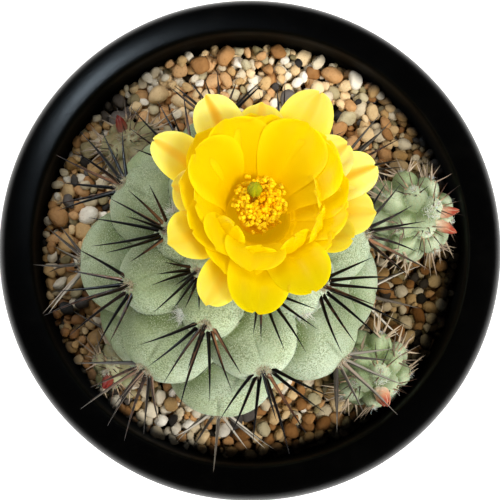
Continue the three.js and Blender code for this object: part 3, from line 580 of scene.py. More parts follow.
MOTHER_RADIUS = 20
steps = np.arange(-5, 23)
mother_polar = 17.2 + 2.95 * steps + 0.084 * steps**2
mother_growth = np.radians(2.95 + 0.168 * steps)  # of the polar angle from each tubercle to the next
mother_area = 2 * np.pi * MOTHER_RADIUS**2 * np.sin(np.radians(mother_polar)) * mother_growth
MOTHER_SPINES = SimpleNamespace(
    fan=(-62, -41, -20, 2, 22, 42, 62), rise=26, central=64, length=12, shortening=200, thick=0.34,
    fades=62, sheltered=0.8,  # the polar angle that greying starts at, and how little of it the back gets
)
mother = make_stem(
    (-2.5, -2.7, MIX_LEVEL + 11.5), MOTHER_RADIUS, 0.93, 5.6, 90, 220 + 5 * GOLDEN_ANGLE,
    mother_polar, np.sqrt(1.15 * mother_area), (0.34, 0.13), 4021, MOTHER_SPINES,
)
ROOT_TOP = 49
ROOT_TIP = 26
ROOT_RADIUS = 5
root_profile = [(0, ROOT_TIP), (1.2, ROOT_TIP)]
root_profile += [(ROOT_RADIUS, ROOT_TOP - 3), (ROOT_RADIUS, ROOT_TOP + 3), (0, ROOT_TOP + 3)]
root = turned(softened(root_profile, 1), 24)
root["points"] = root["points"] + [mother.centre[0], mother.centre[1], 0]
root.update(crease=0, shade=0, young=0, groove=0, outer=0, areole=0, tone=0.5, low=1, dry=0, sunny=0)
mother_skin = skin_finish("mother_skin", (186, 202, 154), (80, 96, 44), (224, 238, 210), 1.0)
add_piece("mother_stem", [skin_block(mother, 80), root], mother_skin, ["stem_main"])


# The mother plant's spines
# Every areole carries a fan of seven stiff black spines that open outwards and down, and one upright in the
# middle. Many are brown at the foot. The old ones low on the stem have weathered to grey, less at the back,
# and are painted pale down one side as a highlight.
# The offsets' stems and spines are laid out here as well, because no spine may run into another one.
SPINE_STEPS = 8
AREOLE_RADIUS = 0.75
SPINE_ROOT_DEPTH = 0.8
SPINE_OVER_MIX = 1.9
SPINE_CLEARANCE = 0.7  # from the pot, the flower and other stems
SPINE_APART = 0.9
SPINE_OVER_SKIN = 0.45
FLOWER_BASE = np.array([-0.3, 0, 84.3])
FLOWER_LEAN = 17
FLOWER_LEAN_AZIMUTH = 60
FLOWER_THROAT = 7
lean_turn = math.radians(FLOWER_LEAN_AZIMUTH)
lean_axis = Vector((-math.sin(lean_turn), math.cos(lean_turn), 0))
FLOWER_TURN = np.array(Matrix.Rotation(math.radians(FLOWER_LEAN), 3, lean_axis))


def make_spread(seed):
    """Draws numbers up to an amount either way, the same ones that the solid spines are drawn with."""
    state = seed

    def spread(amount):
        nonlocal state
        state = state * 16807 % 2147483647
        return amount * (2 * state / 2147483647 - 1)

    return spread


def clear_of_flower(points):
    """How far points are outside the space that the open flower takes up."""
    offset = points - FLOWER_BASE
    along = offset @ FLOWER_TURN[:, 2]
    away = np.sqrt(np.maximum((offset**2).sum(1) - along**2, 0))
    return np.where(along < -6, np.inf, away - (3.2 + np.maximum(along - FLOWER_THROAT + 1, 0) * 2.2))


def spine_direction(stem, which, angle, rise):
    a, r = math.radians(angle), math.radians(rise)
    flat = math.cos(a) * stem.down[which] + math.sin(a) * stem.side[which]
    return (math.cos(r) * flat + math.sin(r) * stem.out[which]) @ stem.turn.T


def spine_is_clear(stem, start, end, other_stems, others):
    """True if a spine keeps clear of the mix, the pot, the flower, the stems and other areoles' spines."""
    points = start + np.arange(2, SPINE_STEPS + 1)[:, None] / SPINE_STEPS * (end - start)
    wall = inner_radius(points[:, 2]) - np.hypot(points[:, 0], points[:, 1])
    from_pot = np.maximum(wall, points[:, 2] - POT_HEIGHT)
    if (points[:, 2] < MIX_LEVEL + SPINE_OVER_MIX).any() or (from_pot < SPINE_CLEARANCE).any():
        return False
    if (clear_of_flower(points) < SPINE_CLEARANCE).any():
        return False
    for other in other_stems:
        if (np.linalg.norm(points - other.centre, axis=1) < other.radius + SPINE_CLEARANCE).any():
            return False
    if len(others):
        along = others[:, 1] - others[:, 0]
        offset = points[:, None] - others[None, :, 0]
        share = np.clip((offset * along).sum(2) / (along**2).sum(1), 0, 1)
        if (np.linalg.norm(offset - share[..., None] * along, axis=2) < SPINE_APART).any():
            return False
    local = (points[2:] - stem.centre) @ stem.turn
    distance = np.linalg.norm(local, axis=1)
    return (distance - skin_radius(stem, local / distance[:, None]) >= SPINE_OVER_SKIN).all()


def grow_spines(stem, other_stems, elsewhere):
    """The stem's spines as rows of start, end, thickness and areole, each bent clear or left out."""
    spread = make_spread(stem.seed)
    needles = stem.spines
    areoles = placed(stem, stem.out * skin_radius(stem, stem.out)[:, None])
    grown = []
    for which, areole in enumerate(areoles):
        size = min(stem.spacing[which] / (0.55 * stem.radius), 1)
        others = np.array([(s[0], s[1]) for s in elsewhere + grown])
        reaches = [needles.length * (1 - abs(angle) / needles.shortening) for angle in needles.fan]
        wanted = [(angle, needles.rise, reach, AREOLE_RADIUS) for angle, reach in zip(needles.fan, reaches)]
        if needles.central:
            wanted.append((0, needles.central, needles.length * 0.62, 0))
        for angle, lift, reach, offset in wanted:
            fan_angle = angle + spread(6)
            first_rise = lift + spread(7)
            length = reach * size * (1 + spread(0.14))
            foot = spine_direction(stem, which, 1.45 * angle, 0) * offset * size
            start = areole + foot - SPINE_ROOT_DEPTH * stem.out[which] @ stem.turn.T
            tries = [(turn, bend) for turn in (0, 14, -14, 28, -28) for bend in (0, -9, 9, -18, 18, 27, 36)]
            for turn, bend in tries:
                try_angle, try_rise = fan_angle + turn, first_rise + bend
                end = areole + length * spine_direction(stem, which, try_angle, try_rise)
                if try_rise > 4 and spine_is_clear(stem, start, end, other_stems, others):
                    grown.append((start, end, needles.thick * (0.7 + 0.3 * size), which))
                    break
    return grown


def tubes(lines, radii, sides, **marks):
    """A block of closed tubes along lines of points, each ring with its own radius."""
    lines = np.asarray(lines, float)
    count, rings = lines.shape[:2]
    tangent = np.gradient(lines, axis=1)
    tangent /= np.linalg.norm(tangent, axis=2, keepdims=True)
    across = np.cross(tangent, [0.36, 0.48, 0.8])
    across /= np.linalg.norm(across, axis=2, keepdims=True)
    other = np.cross(tangent, across)
    turn = np.linspace(0, 2 * np.pi, sides, endpoint=False)[:, None]
    ring = across[:, :, None] * np.cos(turn) + other[:, :, None] * np.sin(turn)
    body = lines[:, :, None] + ring * np.asarray(radii)[:, :, None, None]
    points = np.concatenate([body.reshape(count, -1, 3), lines[:, :1], lines[:, -1:]], 1)
    each = points.shape[1]
    faces = shell_faces(rings, sides)
    faces = (faces[None] + each * np.arange(count)[:, None, None]).reshape(-1, 3)
    block = {"points": points.reshape(-1, 3), "faces": outward(points.reshape(-1, 3), faces)}
    for name, values in marks.items():
        values = np.broadcast_to(np.asarray(values, float), (count, rings))
        whole = np.concatenate([np.repeat(values, sides, 1), values[:, :1], values[:, -1:]], 1)
        block[name] = whole.ravel()
    return block


def spine_block(stem, grown, slim=1.0, rings=10, sides=7):
    """Tapering needles, a little bowed, thickened at the foot, and full again on the oldest areoles."""
    rng = np.random.default_rng(stem.seed + 1)
    start = np.array([g[0] for g in grown])
    end = np.array([g[1] for g in grown])
    thickness = np.array([g[2] for g in grown])[:, None] ** 0.5 * stem.spines.thick**0.5
    lowness = np.degrees(np.arccos([stem.out[g[3], 2] for g in grown]))
    northern = np.clip(np.array([stem.out[g[3], 1] for g in grown]) * 1.4, 0, 1)
    age = np.clip((lowness - stem.spines.fades) / 45, 0, 1) * (1 - stem.spines.sheltered * northern)
    share = np.linspace(0, 1, rings) ** 1.15
    reach = np.linalg.norm(end - start, axis=1)[:, None]
    bow = rng.normal(0, 0.016, (len(grown), 1, 3)) * reach[..., None]
    line = start[:, None] + share[:, None] * (end - start)[:, None] + bow * np.sin(np.pi * share)[:, None]
    swell = 1 + 0.2 * np.exp(-(((share * reach - 0.7) / 0.4) ** 2))
    taper = 0.8 * (1 - 0.94 * share**1.6)
    tone = rng.uniform(0, 1, (len(grown), 1))
    radii = thickness * taper * swell * (slim + (1 - slim) * age[:, None])
    block = tubes(line, radii, sides, along=share[None] + 0 * tone, tone=tone, age=age[:, None])
    turns = np.tile(np.linspace(0, 2 * np.pi, sides, endpoint=False), rings)
    turns = turns + 2 * np.pi * rng.uniform(0, 1, tone.shape)
    block["round"] = np.concatenate([np.cos(turns), 0 * tone, 0 * tone], 1).ravel()
    return block


horn, place = start_finish("spine_horn", {"Specular IOR Level": 0.25, "IOR": 1.5})
along, tone, age = place.mark("along"), place.mark("tone"), place.mark("age")
fibres = place.noise(1500, 4)
# One side of each needle: brown near the foot on some, painted pale as a highlight on the old ones.
streak_and_highlight_side = place.mark("round").step(0.1, 0.8)
brown = (1 - (along * 1.1 + fibres * 0.3).step(0.3, 0.95)) * (tone.step(0.3, 0.8) * streak_and_highlight_side)
dark = brown.mix((8, 6, 6), (142, 100, 70))
streaked = ((fibres + tone * 0.3).step(0.72, 0.86) * 0.5).mix(dark, (84, 54, 40))
faded = (age * 0.7).mix(streaked, (74, 64, 54))
# Painted highlight: the old spines are pale down one side.
weathered_and_highlit = (age * (streak_and_highlight_side * 0.8 + fibres * 0.2)).mix(faded, (206, 198, 182))
end_finish(horn, weathered_and_highlit, age * 0.3 + fibres * 0.2 + 0.22, place.noise(4000, 3).bump(0.02))
OFFSET_SPINES = SimpleNamespace(
    fan=(-130, -66, 0, 66, 130), rise=24, central=0, length=4.4, shortening=330, thick=0.24,
    fades=38, sheltered=0,
)
OFFSETS = {  # centre, radius, lean and the way of it, first azimuth, number of tubercles, seed, how dry
    "offset_right": ((22.2, 4.5, 59.6), 6.2, 27, 5, 40, 18, 77, 0),
    "offset_front_right": ((16.7, -16.7, 59.2), 5.5, 26, -55, 100, 15, 191, 0),
    "offset_back_left": ((-16.6, 14.2, 57.6), 4.3, 24, 135, 10, 11, 305, 0.8),
    "offset_front_left": ((-18.7, -16.3, 57), 3.5, 26, 220, 60, 9, 413, 0.65),
}
offsets = {}
for name, (centre, radius, lean, lean_azimuth, first_azimuth, count, seed, dry) in OFFSETS.items():
    share = 1.5 / count
    polar = np.degrees(np.arccos(1 - share * (np.arange(count) + 0.5)))
    spacing = np.full(count, math.sqrt(1.15 * 2 * math.pi * share) * radius)
    offsets[name] = make_stem(
        centre, radius, 0.95, lean, lean_azimuth, first_azimuth, polar, spacing, (0.5, 0.17), seed,
        OFFSET_SPINES, dry,
    )
stems = [mother, *offsets.values()]
spines = []
for stem in stems:
    earlier = [spine for grown in spines for spine in grown]
    spines.append(grow_spines(stem, [s for s in stems if s is not stem], earlier))
add_piece("mother_spines", [spine_block(mother, spines[0])], horn)


# The mother plant's wool
# Short felt fills each areole round the feet of the spines. Longer white wool sits in some of the axils, at
# the inner end of the tubercles, and covers the crown round the foot of the flower.
def tuft(stem, directions, width, length, count, rng, tone, spring):
    """Fine curved hairs that stand out of the skin round each direction."""
    number = len(directions)
    ref = np.cross(directions, [0.3, 0.5, 0.81])
    ref /= np.linalg.norm(ref, axis=1, keepdims=True)
    other = np.cross(directions, ref)
    turn = rng.uniform(0, 2 * np.pi, (number, count))
    away = np.sqrt(rng.uniform(0, 1, (number, count))) * np.asarray(width)[:, None]
    way = np.cos(turn)[..., None] * ref[:, None] + np.sin(turn)[..., None] * other[:, None]
    spot = away[..., None] * way
    aim = directions[:, None] + spot / stem.radius
    aim = (aim / np.linalg.norm(aim, axis=2, keepdims=True)).reshape(-1, 3)
    root = aim * (skin_radius(stem, aim) - 0.15)[:, None]
    heading = aim + rng.normal(0, spring, aim.shape)
    heading /= np.linalg.norm(heading, axis=1, keepdims=True)
    curl = rng.normal(0, 0.35, aim.shape)
    reach = length * rng.uniform(0.5, 1.2, (len(aim), 1))
    share = np.linspace(0, 1, 5)
    bent = share[:, None] * heading[:, None] + (share**2)[:, None] * curl[:, None]
    radii = 0.035 * (1 - 0.7 * share)[None] + 0 * reach
    tones = np.clip(tone + rng.normal(0, 0.15, (len(aim), 1)), 0, 1)
    return tubes(placed(stem, root[:, None] + reach[:, None] * bent), radii, 3, tone=tones)


settings = {"Specular IOR Level": 0.15, "Subsurface Weight": 0.2, "Subsurface Scale": 0.0005}
wool_white, place = start_finish("wool_white", settings)
felt = place.mark("tone").ramp((0.0, (150, 118, 84)), (0.45, (204, 194, 172)), (1.0, (246, 245, 238)))
end_finish(wool_white, felt, place.noise(3000) * 0.1 + 0.85)
rng = np.random.default_rng(52)
axil_lean = -(0.72 * TUBERCLE_LENGTH + AREOLE_SHIFT) * mother.spacing / MOTHER_RADIUS
axils = mother.out + axil_lean[:, None] * mother.down
axils /= np.linalg.norm(axils, axis=1, keepdims=True)
woolly = axils[(np.arange(len(axils)) % 2 == 0) & (mother_polar > 12) & (mother_polar < 84)]
crown_direction = np.array([[0.0, 0.0, 1.0]])
wool = [
    tuft(mother, mother.out, 0.075 * mother.spacing, 0.75, 60, rng, 0.35, 0.6),
    tuft(mother, woolly, np.full(len(woolly), 1.05), 1.1, 150, rng, 0.95, 0.8),
    tuft(mother, crown_direction, np.array([3.2]), 1.5, 700, rng, 0.85, 0.6),
]
add_piece("mother_wool", wool, wool_white)


# The offsets
# Four young plants round the foot of the mother plant, built as it is, with smoother skin, small tubercles,
# thin brownish spines all round each areole, and wool at their crowns. The two at the left have browned.
offset_skin = skin_finish("offset_skin", (184, 202, 152), (84, 100, 50), (228, 238, 208), 0.4)


def filled_in(grown):
    """The spines of the solid, with a finer one between each two neighbours of an areole."""
    between = []
    for first, second in zip(grown, grown[1:]):
        if first[3] == second[3]:
            start, middle = (first[0] + second[0]) / 2, (first[1] + second[1]) / 2
            length = 0.85 * np.linalg.norm(second[1] - second[0])
            end = start + length * (middle - start) / np.linalg.norm(middle - start)
            between.append((start, end, 0.8 * first[2], first[3]))
    return grown + between


young_horn, place = start_finish("young_spine_horn", {"Specular IOR Level": 0.4})
along, tone, age = place.mark("along"), place.mark("tone"), place.mark("age")
fibres = place.noise(1500, 4)
young = (along + fibres * 0.3).step(0.15, 0.6).mix((196, 170, 134), (84, 58, 46))
young = ((along * 0.9 + tone * 0.7).step(0.6, 1.0) * 0.9).mix(young, (26, 20, 19))
young = (age * 0.85).mix(young, (200, 180, 154))
end_finish(young_horn, young, fibres * 0.2 + 0.35, place.noise(4000, 3).bump(0.015))
for (name, stem), grown in zip(offsets.items(), spines[1:]):
    cuts = round(20 + 2.6 * stem.radius)
    add_piece(name + "_stem", [skin_block(stem, cuts)], offset_skin, [name])
    add_piece(name + "_spines", [spine_block(stem, filled_in(grown), 0.55, 8, 6)], young_horn)
    rng = np.random.default_rng(stem.seed + 2)
    crown_width = np.array([0.17 * stem.radius])
    wool = [
        tuft(stem, stem.out, 0.09 * stem.spacing, 0.5, 26, rng, 0.7 - 0.6 * stem.dry, 0.7),
        tuft(stem, crown_direction, crown_width, 0.7, 110, rng, 0.95 - 0.8 * stem.dry, 0.7),
    ]
    add_piece(name + "_wool", wool, wool_white)


# The buds
# Small flower buds stand at the crowns of the offsets: a pointed core wrapped in overlapping scales, dull
# orange with paler edges, or dark red where they are riper.
def blade(line, width, cup, thickness, rows, columns, belly, base, point, waves=None):
    """A thin closed leaf in the plane of out and up: a curve through three points, broadest at its belly.

    Waves is a function of the shares along and across that lifts the blade, in millimetres.
    """
    start, knee, end = (np.array(p, float) for p in line)
    lower = np.linspace(0, belly, rows - rows // 3, endpoint=False)
    closing = np.radians(np.linspace(0, 87, rows // 3))
    u = np.concatenate([lower, belly + (1 - belly) * np.sin(closing)])[:, None]
    rising = base + (1 - base) * np.sin(np.pi / 2 * lower / belly) ** 1.5
    w = np.concatenate([rising, np.cos(closing) ** point])[:, None]
    v = np.linspace(-1, 1, columns)[None]
    at = (1 - u) ** 2 * start + 2 * u * (1 - u) * knee + u**2 * end
    tangent = (1 - u) * (knee - start) + u * (end - knee)
    tangent /= np.linalg.norm(tangent, axis=1, keepdims=True)
    lift = cup * v**2 * w
    if waves:
        lift = lift + waves(u, v) * w
    thick = thickness * (1 - 0.8 * v**4) * (1 - 0.55 * u)
    faces = grid_faces(len(u), columns, False)
    layers = []
    for level in (lift, lift - thick):
        out = at[:, :1] - tangent[:, 1:] * level
        rise = at[:, 1:] + tangent[:, :1] * level
        layers.append(np.stack([out, v * w * width / 2, rise], 2).reshape(-1, 3))
    under = layers[0].shape[0]
    grid = np.arange(under).reshape(len(u), columns)
    border = np.concatenate([grid[0], grid[1:, -1], grid[-1, -2::-1], grid[-2:0:-1, 0]])
    following = np.roll(border, -1)
    first_side = np.stack([border, border + under, following + under], 1)
    second_side = np.stack([border, following + under, following], 1)
    points = np.concatenate(layers)
    faces = np.concatenate([faces, faces[:, ::-1] + under, first_side, second_side])
    return {
        "points": points,
        "faces": outward(points, faces),
        "along": np.tile((u + 0 * v).ravel(), 2),
        "across": np.tile((v + 0 * u).ravel(), 2),
    }


def about_z(angle):
    """A turn about +Z by an angle in radians."""
    sine, cosine = math.sin(angle), math.cos(angle)
    return np.array([[cosine, -sine, 0], [sine, cosine, 0], [0, 0, 1]])


def moved(block, azimuth, turn, base):
    """A block turned about its own upright axis, then stood in a frame."""
    block["points"] = block["points"] @ about_z(math.radians(azimuth)).T @ turn.T + base
    return block


def aimed(direction):
    """The turn that takes +Z to a direction."""
    return np.array(Vector((0, 0, 1)).rotation_difference(Vector(direction)).to_matrix())


def direction_at(polar, azimuth):
    p, a = math.radians(polar), math.radians(azimuth)
    return np.array([math.sin(p) * math.cos(a), math.sin(p) * math.sin(a), math.cos(p)])


settings = {"Specular IOR Level": 0.2, "Subsurface Weight": 0.15, "Subsurface Scale": 0.001}
bud_scales, place = start_finish("bud_scales", settings)
along, across = place.mark("along"), place.mark("across")
veins = place.noise(1800, 3)
blush = (along + veins * 0.2).ramp((0.36, (240, 218, 190)), (0.74, (212, 150, 116)), (1.0, (166, 78, 58)))
rimmed = ((across * across).step(0.5, 1.0) * 0.6).mix(blush, (238, 200, 168))
ripened = (place.mark("ripe") * 0.9).mix(rimmed, (104, 22, 22))
end_finish(bud_scales, ripened, veins * 0.2 + 0.4, veins.bump(0.05))

BUD_SCALES = 15
BUDS = {  # the stem that bears it, polar angle, azimuth, length, width, how much further it tilts, how ripe
    "bud_right_upper": ("offset_right", 20, 2, 2.6, 0.76, 22, 0.3),
    "bud_right_lower": ("offset_right", 24, -40, 2.8, 0.8, 22, 0.15),
    "bud_front_right": ("offset_front_right", 20, -80, 2.7, 1.05, 10, 0),
    "bud_back_left": ("offset_back_left", 22, 100, 2.3, 0.75, 16, 0.9),
    "bud_front_left": ("offset_front_left", 18, 270, 2.3, 0.75, 8, 1),
}
for number, (name, (host, polar, azimuth, length, width, tilt, ripe)) in enumerate(BUDS.items()):
    stem = offsets[host]
    rng = np.random.default_rng(900 + number)
    way = direction_at(polar, azimuth)
    foot = placed(stem, way * (ball_radius(stem, way[None])[0] - 1.4))
    turn = aimed(direction_at(polar + tilt, azimuth) @ stem.turn.T)
    corners = [(0, 0), (0.6 * width, 0.3), (0.86 * width, 0.45 * length)]
    corners += [(0.6 * width, 0.8 * length), (0, length + 1)]
    core = turned(softened(corners, 0.8), 20)
    core.update(along=np.clip(core["points"][:, 2] / length, 0, 1), across=0)
    blocks = [moved(core, 0, turn, foot)]
    for i in range(BUD_SCALES):
        share = i / (BUD_SCALES - 1)
        low = (0.66 * width + 0.05, 0.2 + 0.42 * share * length)
        knee = (1.2 * width, low[1] + 0.34 * length)
        high = ((0.62 - 0.5 * share) * width + 0.05, length * (0.62 + 0.4 * share) + 0.9 * share)
        leaf = blade([low, knee, high], 1.25 * width, 0.24 * width, 0.18, 10, 7, 0.5, 0.7, 1.3)
        blocks.append(moved(leaf, GOLDEN_ANGLE * i + rng.uniform(-6, 6), turn, foot))
    for block in blocks:
        height = (block["points"] - foot) @ turn[:, 2]
        block["along"] = 0.3 * block["along"] + 0.8 * np.clip(height / (length + 0.6), 0, 1)
        block["ripe"] = ripe
    add_piece(name + "_scales", blocks, bud_scales, [name])


# The flower's tube
# A short fleshy green tube with the ovary in it stands on the crown. Pointed scales lie on it, larger and
# yellower towards the petals.
TUBE_TOP = FLOWER_THROAT - 1.9
settings = {"Specular IOR Level": 0.35, "Subsurface Weight": 0.15, "Subsurface Scale": 0.001}
tube_green, place = start_finish("flower_tube_green", settings)
along = place.mark("along")
veins = place.noise(1500, 3)
green = (along + veins * 0.25).ramp((0.1, (150, 168, 104)), (0.6, (196, 196, 98)), (1.0, (214, 178, 84)))
tipped = (along.step(0.75, 1.0) * 0.6).mix(green, (176, 104, 62))
end_finish(tube_green, tipped, veins * 0.2 + 0.45, veins.bump(0.06))


def on_flower(block, azimuth=0):
    """A block turned about the flower's axis and stood at its foot."""
    return moved(block, azimuth, FLOWER_TURN, FLOWER_BASE)


corners = [(0, -3), (2, -3), (2.3, 0), (2.6, 2.6), (3.3, TUBE_TOP), (0, TUBE_TOP)]
wall = turned(softened(corners, 0.7), 48)
wall.update(along=np.clip(wall["points"][:, 2] / TUBE_TOP * 0.5, 0, 1), across=0)
blocks = [on_flower(wall)]
rng = np.random.default_rng(31)
TUBE_SCALES = 16
for i in range(TUBE_SCALES):
    share = i / (TUBE_SCALES - 1)
    foot_height = -0.6 + 4.4 * share
    foot_radius = 2.28 + 0.75 * share
    length = 2.2 + 2.6 * share
    line = np.array([(0, 0), (0.55, 0.5 * length), (0.5 + share, length)]) + [foot_radius, foot_height]
    leaf = blade(line, 1.5 + 0.9 * share, 0.3, 0.3, 14, 7, 0.35, 0.8, 1.4)
    blocks.append(on_flower(leaf, GOLDEN_ANGLE * i + rng.uniform(-8, 8)))
add_piece("flower_tube_scales", blocks, tube_green, ["flower_tube"])


# The petals
# Thin satin petals in three whorls, joined at the throat. The outer ones spread flat and are pale towards the
# tip, with a deeper stripe down the middle. The broad middle and inner ones overlap into one yellow bowl, and
# five small ones, most of them on its near side, stand up and curl over the throat. Painted shade darkens the
# throat, most on the flower's left, and the petals glow with painted light.
OUTER_PETALS = [  # azimuth, reach, width and how pale the tip is
    (-118, 15, 5.2, 0.4), (-20, 12, 5, 0.15), (-2, 14.3, 6.6, 0.5), (21, 15.6, 5.8, 1), (37, 13.8, 6.2, 0.75),
    (63, 17.2, 6.6, 0.55), (89, 13.5, 6.2, 0.6), (116, 15.7, 6.2, 1.1), (149, 15.7, 5.8, 0.75),
    (169, 11.3, 6.2, 0.55), (205, 12.9, 6.6, 0.35),
]
MIDDLE_PETALS = [
    (-95, 14.7, 7.6, 0), (-64, 13.2, 7.6, 0), (-32, 9.8, 8.4, 0), (-6, 10.4, 8, 0.1), (16, 10.8, 8, 0),
    (45, 11.6, 8.4, 0.1), (72, 11, 8.6, 0), (98, 11.2, 8.4, 0.15), (136, 11.6, 8.6, 0), (170, 10.6, 8.4, 0.1),
    (206, 10, 8, 0), (242, 10.8, 8.2, 0),
]
INNER_PETALS = [
    (34, 10.4, 8.6, 0), (60, 10.8, 8.8, 0), (86, 10.5, 8.8, 0), (116, 10.8, 8.8, 0), (150, 10.2, 8.6, 0),
    (188, 8.8, 7.6, 0), (228, 9.5, 7.4, 0), (258, 10.1, 7.6, 0),
]
CURLED_PETALS = [
    (-96, 7.7, 4.8, 0), (-56, 7.3, 5, 0), (-24, 8, 5.2, 0), (8, 7.4, 4.8, 0.1), (225, 6.7, 4.6, 0),
]
WHORLS = [  # the petals, their curve's foot, knee and end, where they are broadest, how blunt the tip is
    (OUTER_PETALS, (4.9, 6.6), (9.5, 13.6), (17.6, 12.2), 0.7, 0.85),
    (MIDDLE_PETALS, (4.4, 6.85), (7.6, 16.3), (14.8, 14), 0.72, 0.8),
    (INNER_PETALS, (3.9, 7.1), (6, 17.2), (11.4, 15.9), 0.74, 0.75),
    (CURLED_PETALS, (3.9, 7.1), (1.4, 13.1), (-1.2, 15.4), 0.7, 0.85),
]
PETAL_THICKNESS = 0.3
LAYERS = (0.0, 0.2, -0.2)  # neighbours in a whorl lap over each other


def petal_line(foot, knee, end, reach, layer):
    """A whorl's curve from the throat outwards, moved to a layer and cut off at the petal's reach."""
    foot = np.array(foot) + [-0.7 * layer, 0]
    knee = np.array(knee) + [-0.5 * layer, 0.7 * layer]
    end = np.array(end) + [0, layer]
    bend, slope, start = (foot - 2 * knee + end)[0], 2 * (knee - foot)[0], foot[0] - reach
    cut = (math.sqrt(slope**2 - 4 * bend * start) - slope) / (2 * bend)
    until = (1 - cut) ** 2 * foot + 2 * cut * (1 - cut) * knee + cut**2 * end
    return [foot, foot + cut * (knee - foot), until]


def petal_waves(rng, size):
    """A gentle wave along each edge, a twist and a shallow groove down the middle."""
    phase = rng.uniform(0, 2 * np.pi, 2)
    beats = rng.uniform(1.2, 2.4, 2)
    twist = rng.normal(0, 0.5 * size)

    def waves(u, v):
        left = np.sin(2 * np.pi * beats[0] * u + phase[0]) * np.clip(-v, 0, 1) ** 2
        right = np.sin(2 * np.pi * beats[1] * u + phase[1]) * np.clip(v, 0, 1) ** 2
        middle = np.exp(-((v / 0.12) ** 2)) * np.sin(np.pi * np.clip(u, 0, 1))
        folds = 0.08 * np.cos(3 * np.pi * v + phase[0]) * np.clip(2 * u, 0, 1)
        return size * (left + right) * u + twist * v * u**2 - 0.16 * middle + folds

    return waves


# The petals glow with painted light, through Emission Strength and the glow below.
settings = {
    "Specular IOR Level": 0.07,
    "Subsurface Weight": 0.6,
    "Subsurface Scale": 0.0008,
    "Subsurface Radius": (1.0, 0.8, 0.05),
    "Emission Strength": 0.42,
}
petal_yellow, place = start_finish("petal_yellow", settings)
along, across, pale = place.mark("along"), place.mark("across"), place.mark("pale")
broad = place.noise(260, 3)
veins = (across * 34 + broad * 5).node("Math", {"operation": "SINE"}, {})
edge = (across * across).step(0.3, 1.0)
tipwards = along.step(0.5, 0.92)
stripe = (1 - (across * across + broad * 0.04).step(0.0, 0.1)) * along.step(0.2, 0.6)
yellow = (place.mark("tone") * 0.6 + broad * 0.4).mix((178, 154, 0), (184, 160, 0))
yellow = (edge * 0.5).mix(yellow, (208, 190, 14))
# Painted shade: darker towards the tips, which lie flat and face the lamps most.
yellow = (along.step(0.55, 0.95) * 0.85).mix(yellow, (140, 140, 0))
# Painted shade: deeper gold down in the throat, and a painted shadow of the stamens where the tone is low.
yellow = ((1 - along.step(0.1, 0.62)) * 0.6).mix(yellow, (182, 140, 0))
throat = (1 - along.step(0.1, 0.46)) * (1 - place.mark("tone"))
yellow = (throat * 0.9).mix(yellow, (138, 98, 0))
yellow = (pale * (edge * 0.35 + tipwards * 0.8)).mix(yellow, (216, 210, 122))
yellow = (stripe * pale).mix(yellow, (194, 140, 14))
yellow = ((veins * 0.5 + 0.5) * 0.12).mix(yellow, (168, 128, 0))
# Painted glow: weaker and more orange in the throat's painted shadow, paler on pale tips.
painted_glow = along.ramp((0.15, (255, 210, 0)), (0.42, (226, 180, 0)), (0.8, (208, 162, 0)))
painted_glow = (throat * 0.7).mix(painted_glow, (176, 112, 0))
painted_glow = (pale * tipwards).mix(painted_glow, (196, 172, 64))
painted_glow = (stripe * pale * 0.42).mix(painted_glow, (182, 136, 8))
relief = veins * 0.45 + place.noise(2500, 2) * 0.35
end_finish(petal_yellow, yellow, broad * 0.15 + 0.4, relief.bump(0.03), painted_glow)
rng = np.random.default_rng(8)
throat_profile = [
    (0, TUBE_TOP + 0.2), (3.4, TUBE_TOP + 0.2), (5.1, FLOWER_THROAT + 0.4), (3.9, FLOWER_THROAT + 0.8),
    (2.7, TUBE_TOP + 0.6), (0, TUBE_TOP + 0.6),
]
ring = turned(softened(throat_profile, 0.3), 48)
ring.update(along=0.2, across=0, tone=0.6, pale=0)
blocks = [on_flower(ring)]
for petals, foot, knee, end, belly, point in WHORLS:
    for i, (azimuth, reach, width, pale_tip) in enumerate(petals):
        if petals is CURLED_PETALS:
            line = [foot, (reach + knee[0], knee[1]), (reach + end[0], end[1])]
        else:
            line = petal_line(foot, knee, end, reach, LAYERS[i % 3])
        blunt = point * rng.uniform(0.9, 1.08)
        waves = petal_waves(rng, 0.13 + 0.2 * pale_tip)
        leaf = blade(line, width * 1.06, 0, PETAL_THICKNESS, 33, 17, belly, 0.42, blunt, waves)
        out, side, rise = leaf["points"].T
        out = out + 0.18 * np.sin(3 * leaf["across"] + 6 * rng.uniform()) * leaf["along"] ** 5
        leaf["points"] = np.stack([out * np.cos(side / out), out * np.sin(side / out), rise], 1)
        # On the bowl's short petals the throat's painted shade reaches further up and the tips stay light.
        if petals is not OUTER_PETALS and reach < 13:
            leaf["along"] = 0.15 + 0.5 * leaf["along"]
        # Tone is highest on the flower's right: low tone, on the left, gives more painted throat shadow.
        leaf["tone"] = 0.45 + 0.45 * math.cos(math.radians(azimuth - 10)) + rng.uniform(0, 0.1)
        leaf["pale"] = pale_tip
        blocks.append(on_flower(leaf, azimuth))
corolla = add_piece("flower_corolla", blocks, petal_yellow, ["flower_petals"])
corolla.data.set_sharp_from_angle(angle=math.radians(70))


# The stamens
# A dense brush of fine yellow filaments stands on a low dome in the throat. Each carries a small two-lobed
# anther, dusty with pollen, deeper orange in the middle of the brush.
STAMEN_COUNT = 250
STAMEN_SPREAD = 3.3
STIGMA = np.array([-0.9, 1.9, FLOWER_THROAT + 5.4])
STYLE_ROOT = np.array([0, 0, TUBE_TOP + 0.3])
ANTHER_SIZE = (0.36, 0.24, 0.26)
BRUSH_LEAN = np.array([0.1, 0.8, 0])  # of the tips, over the roots
CLUMPS = 26  # groups of tips that draw together
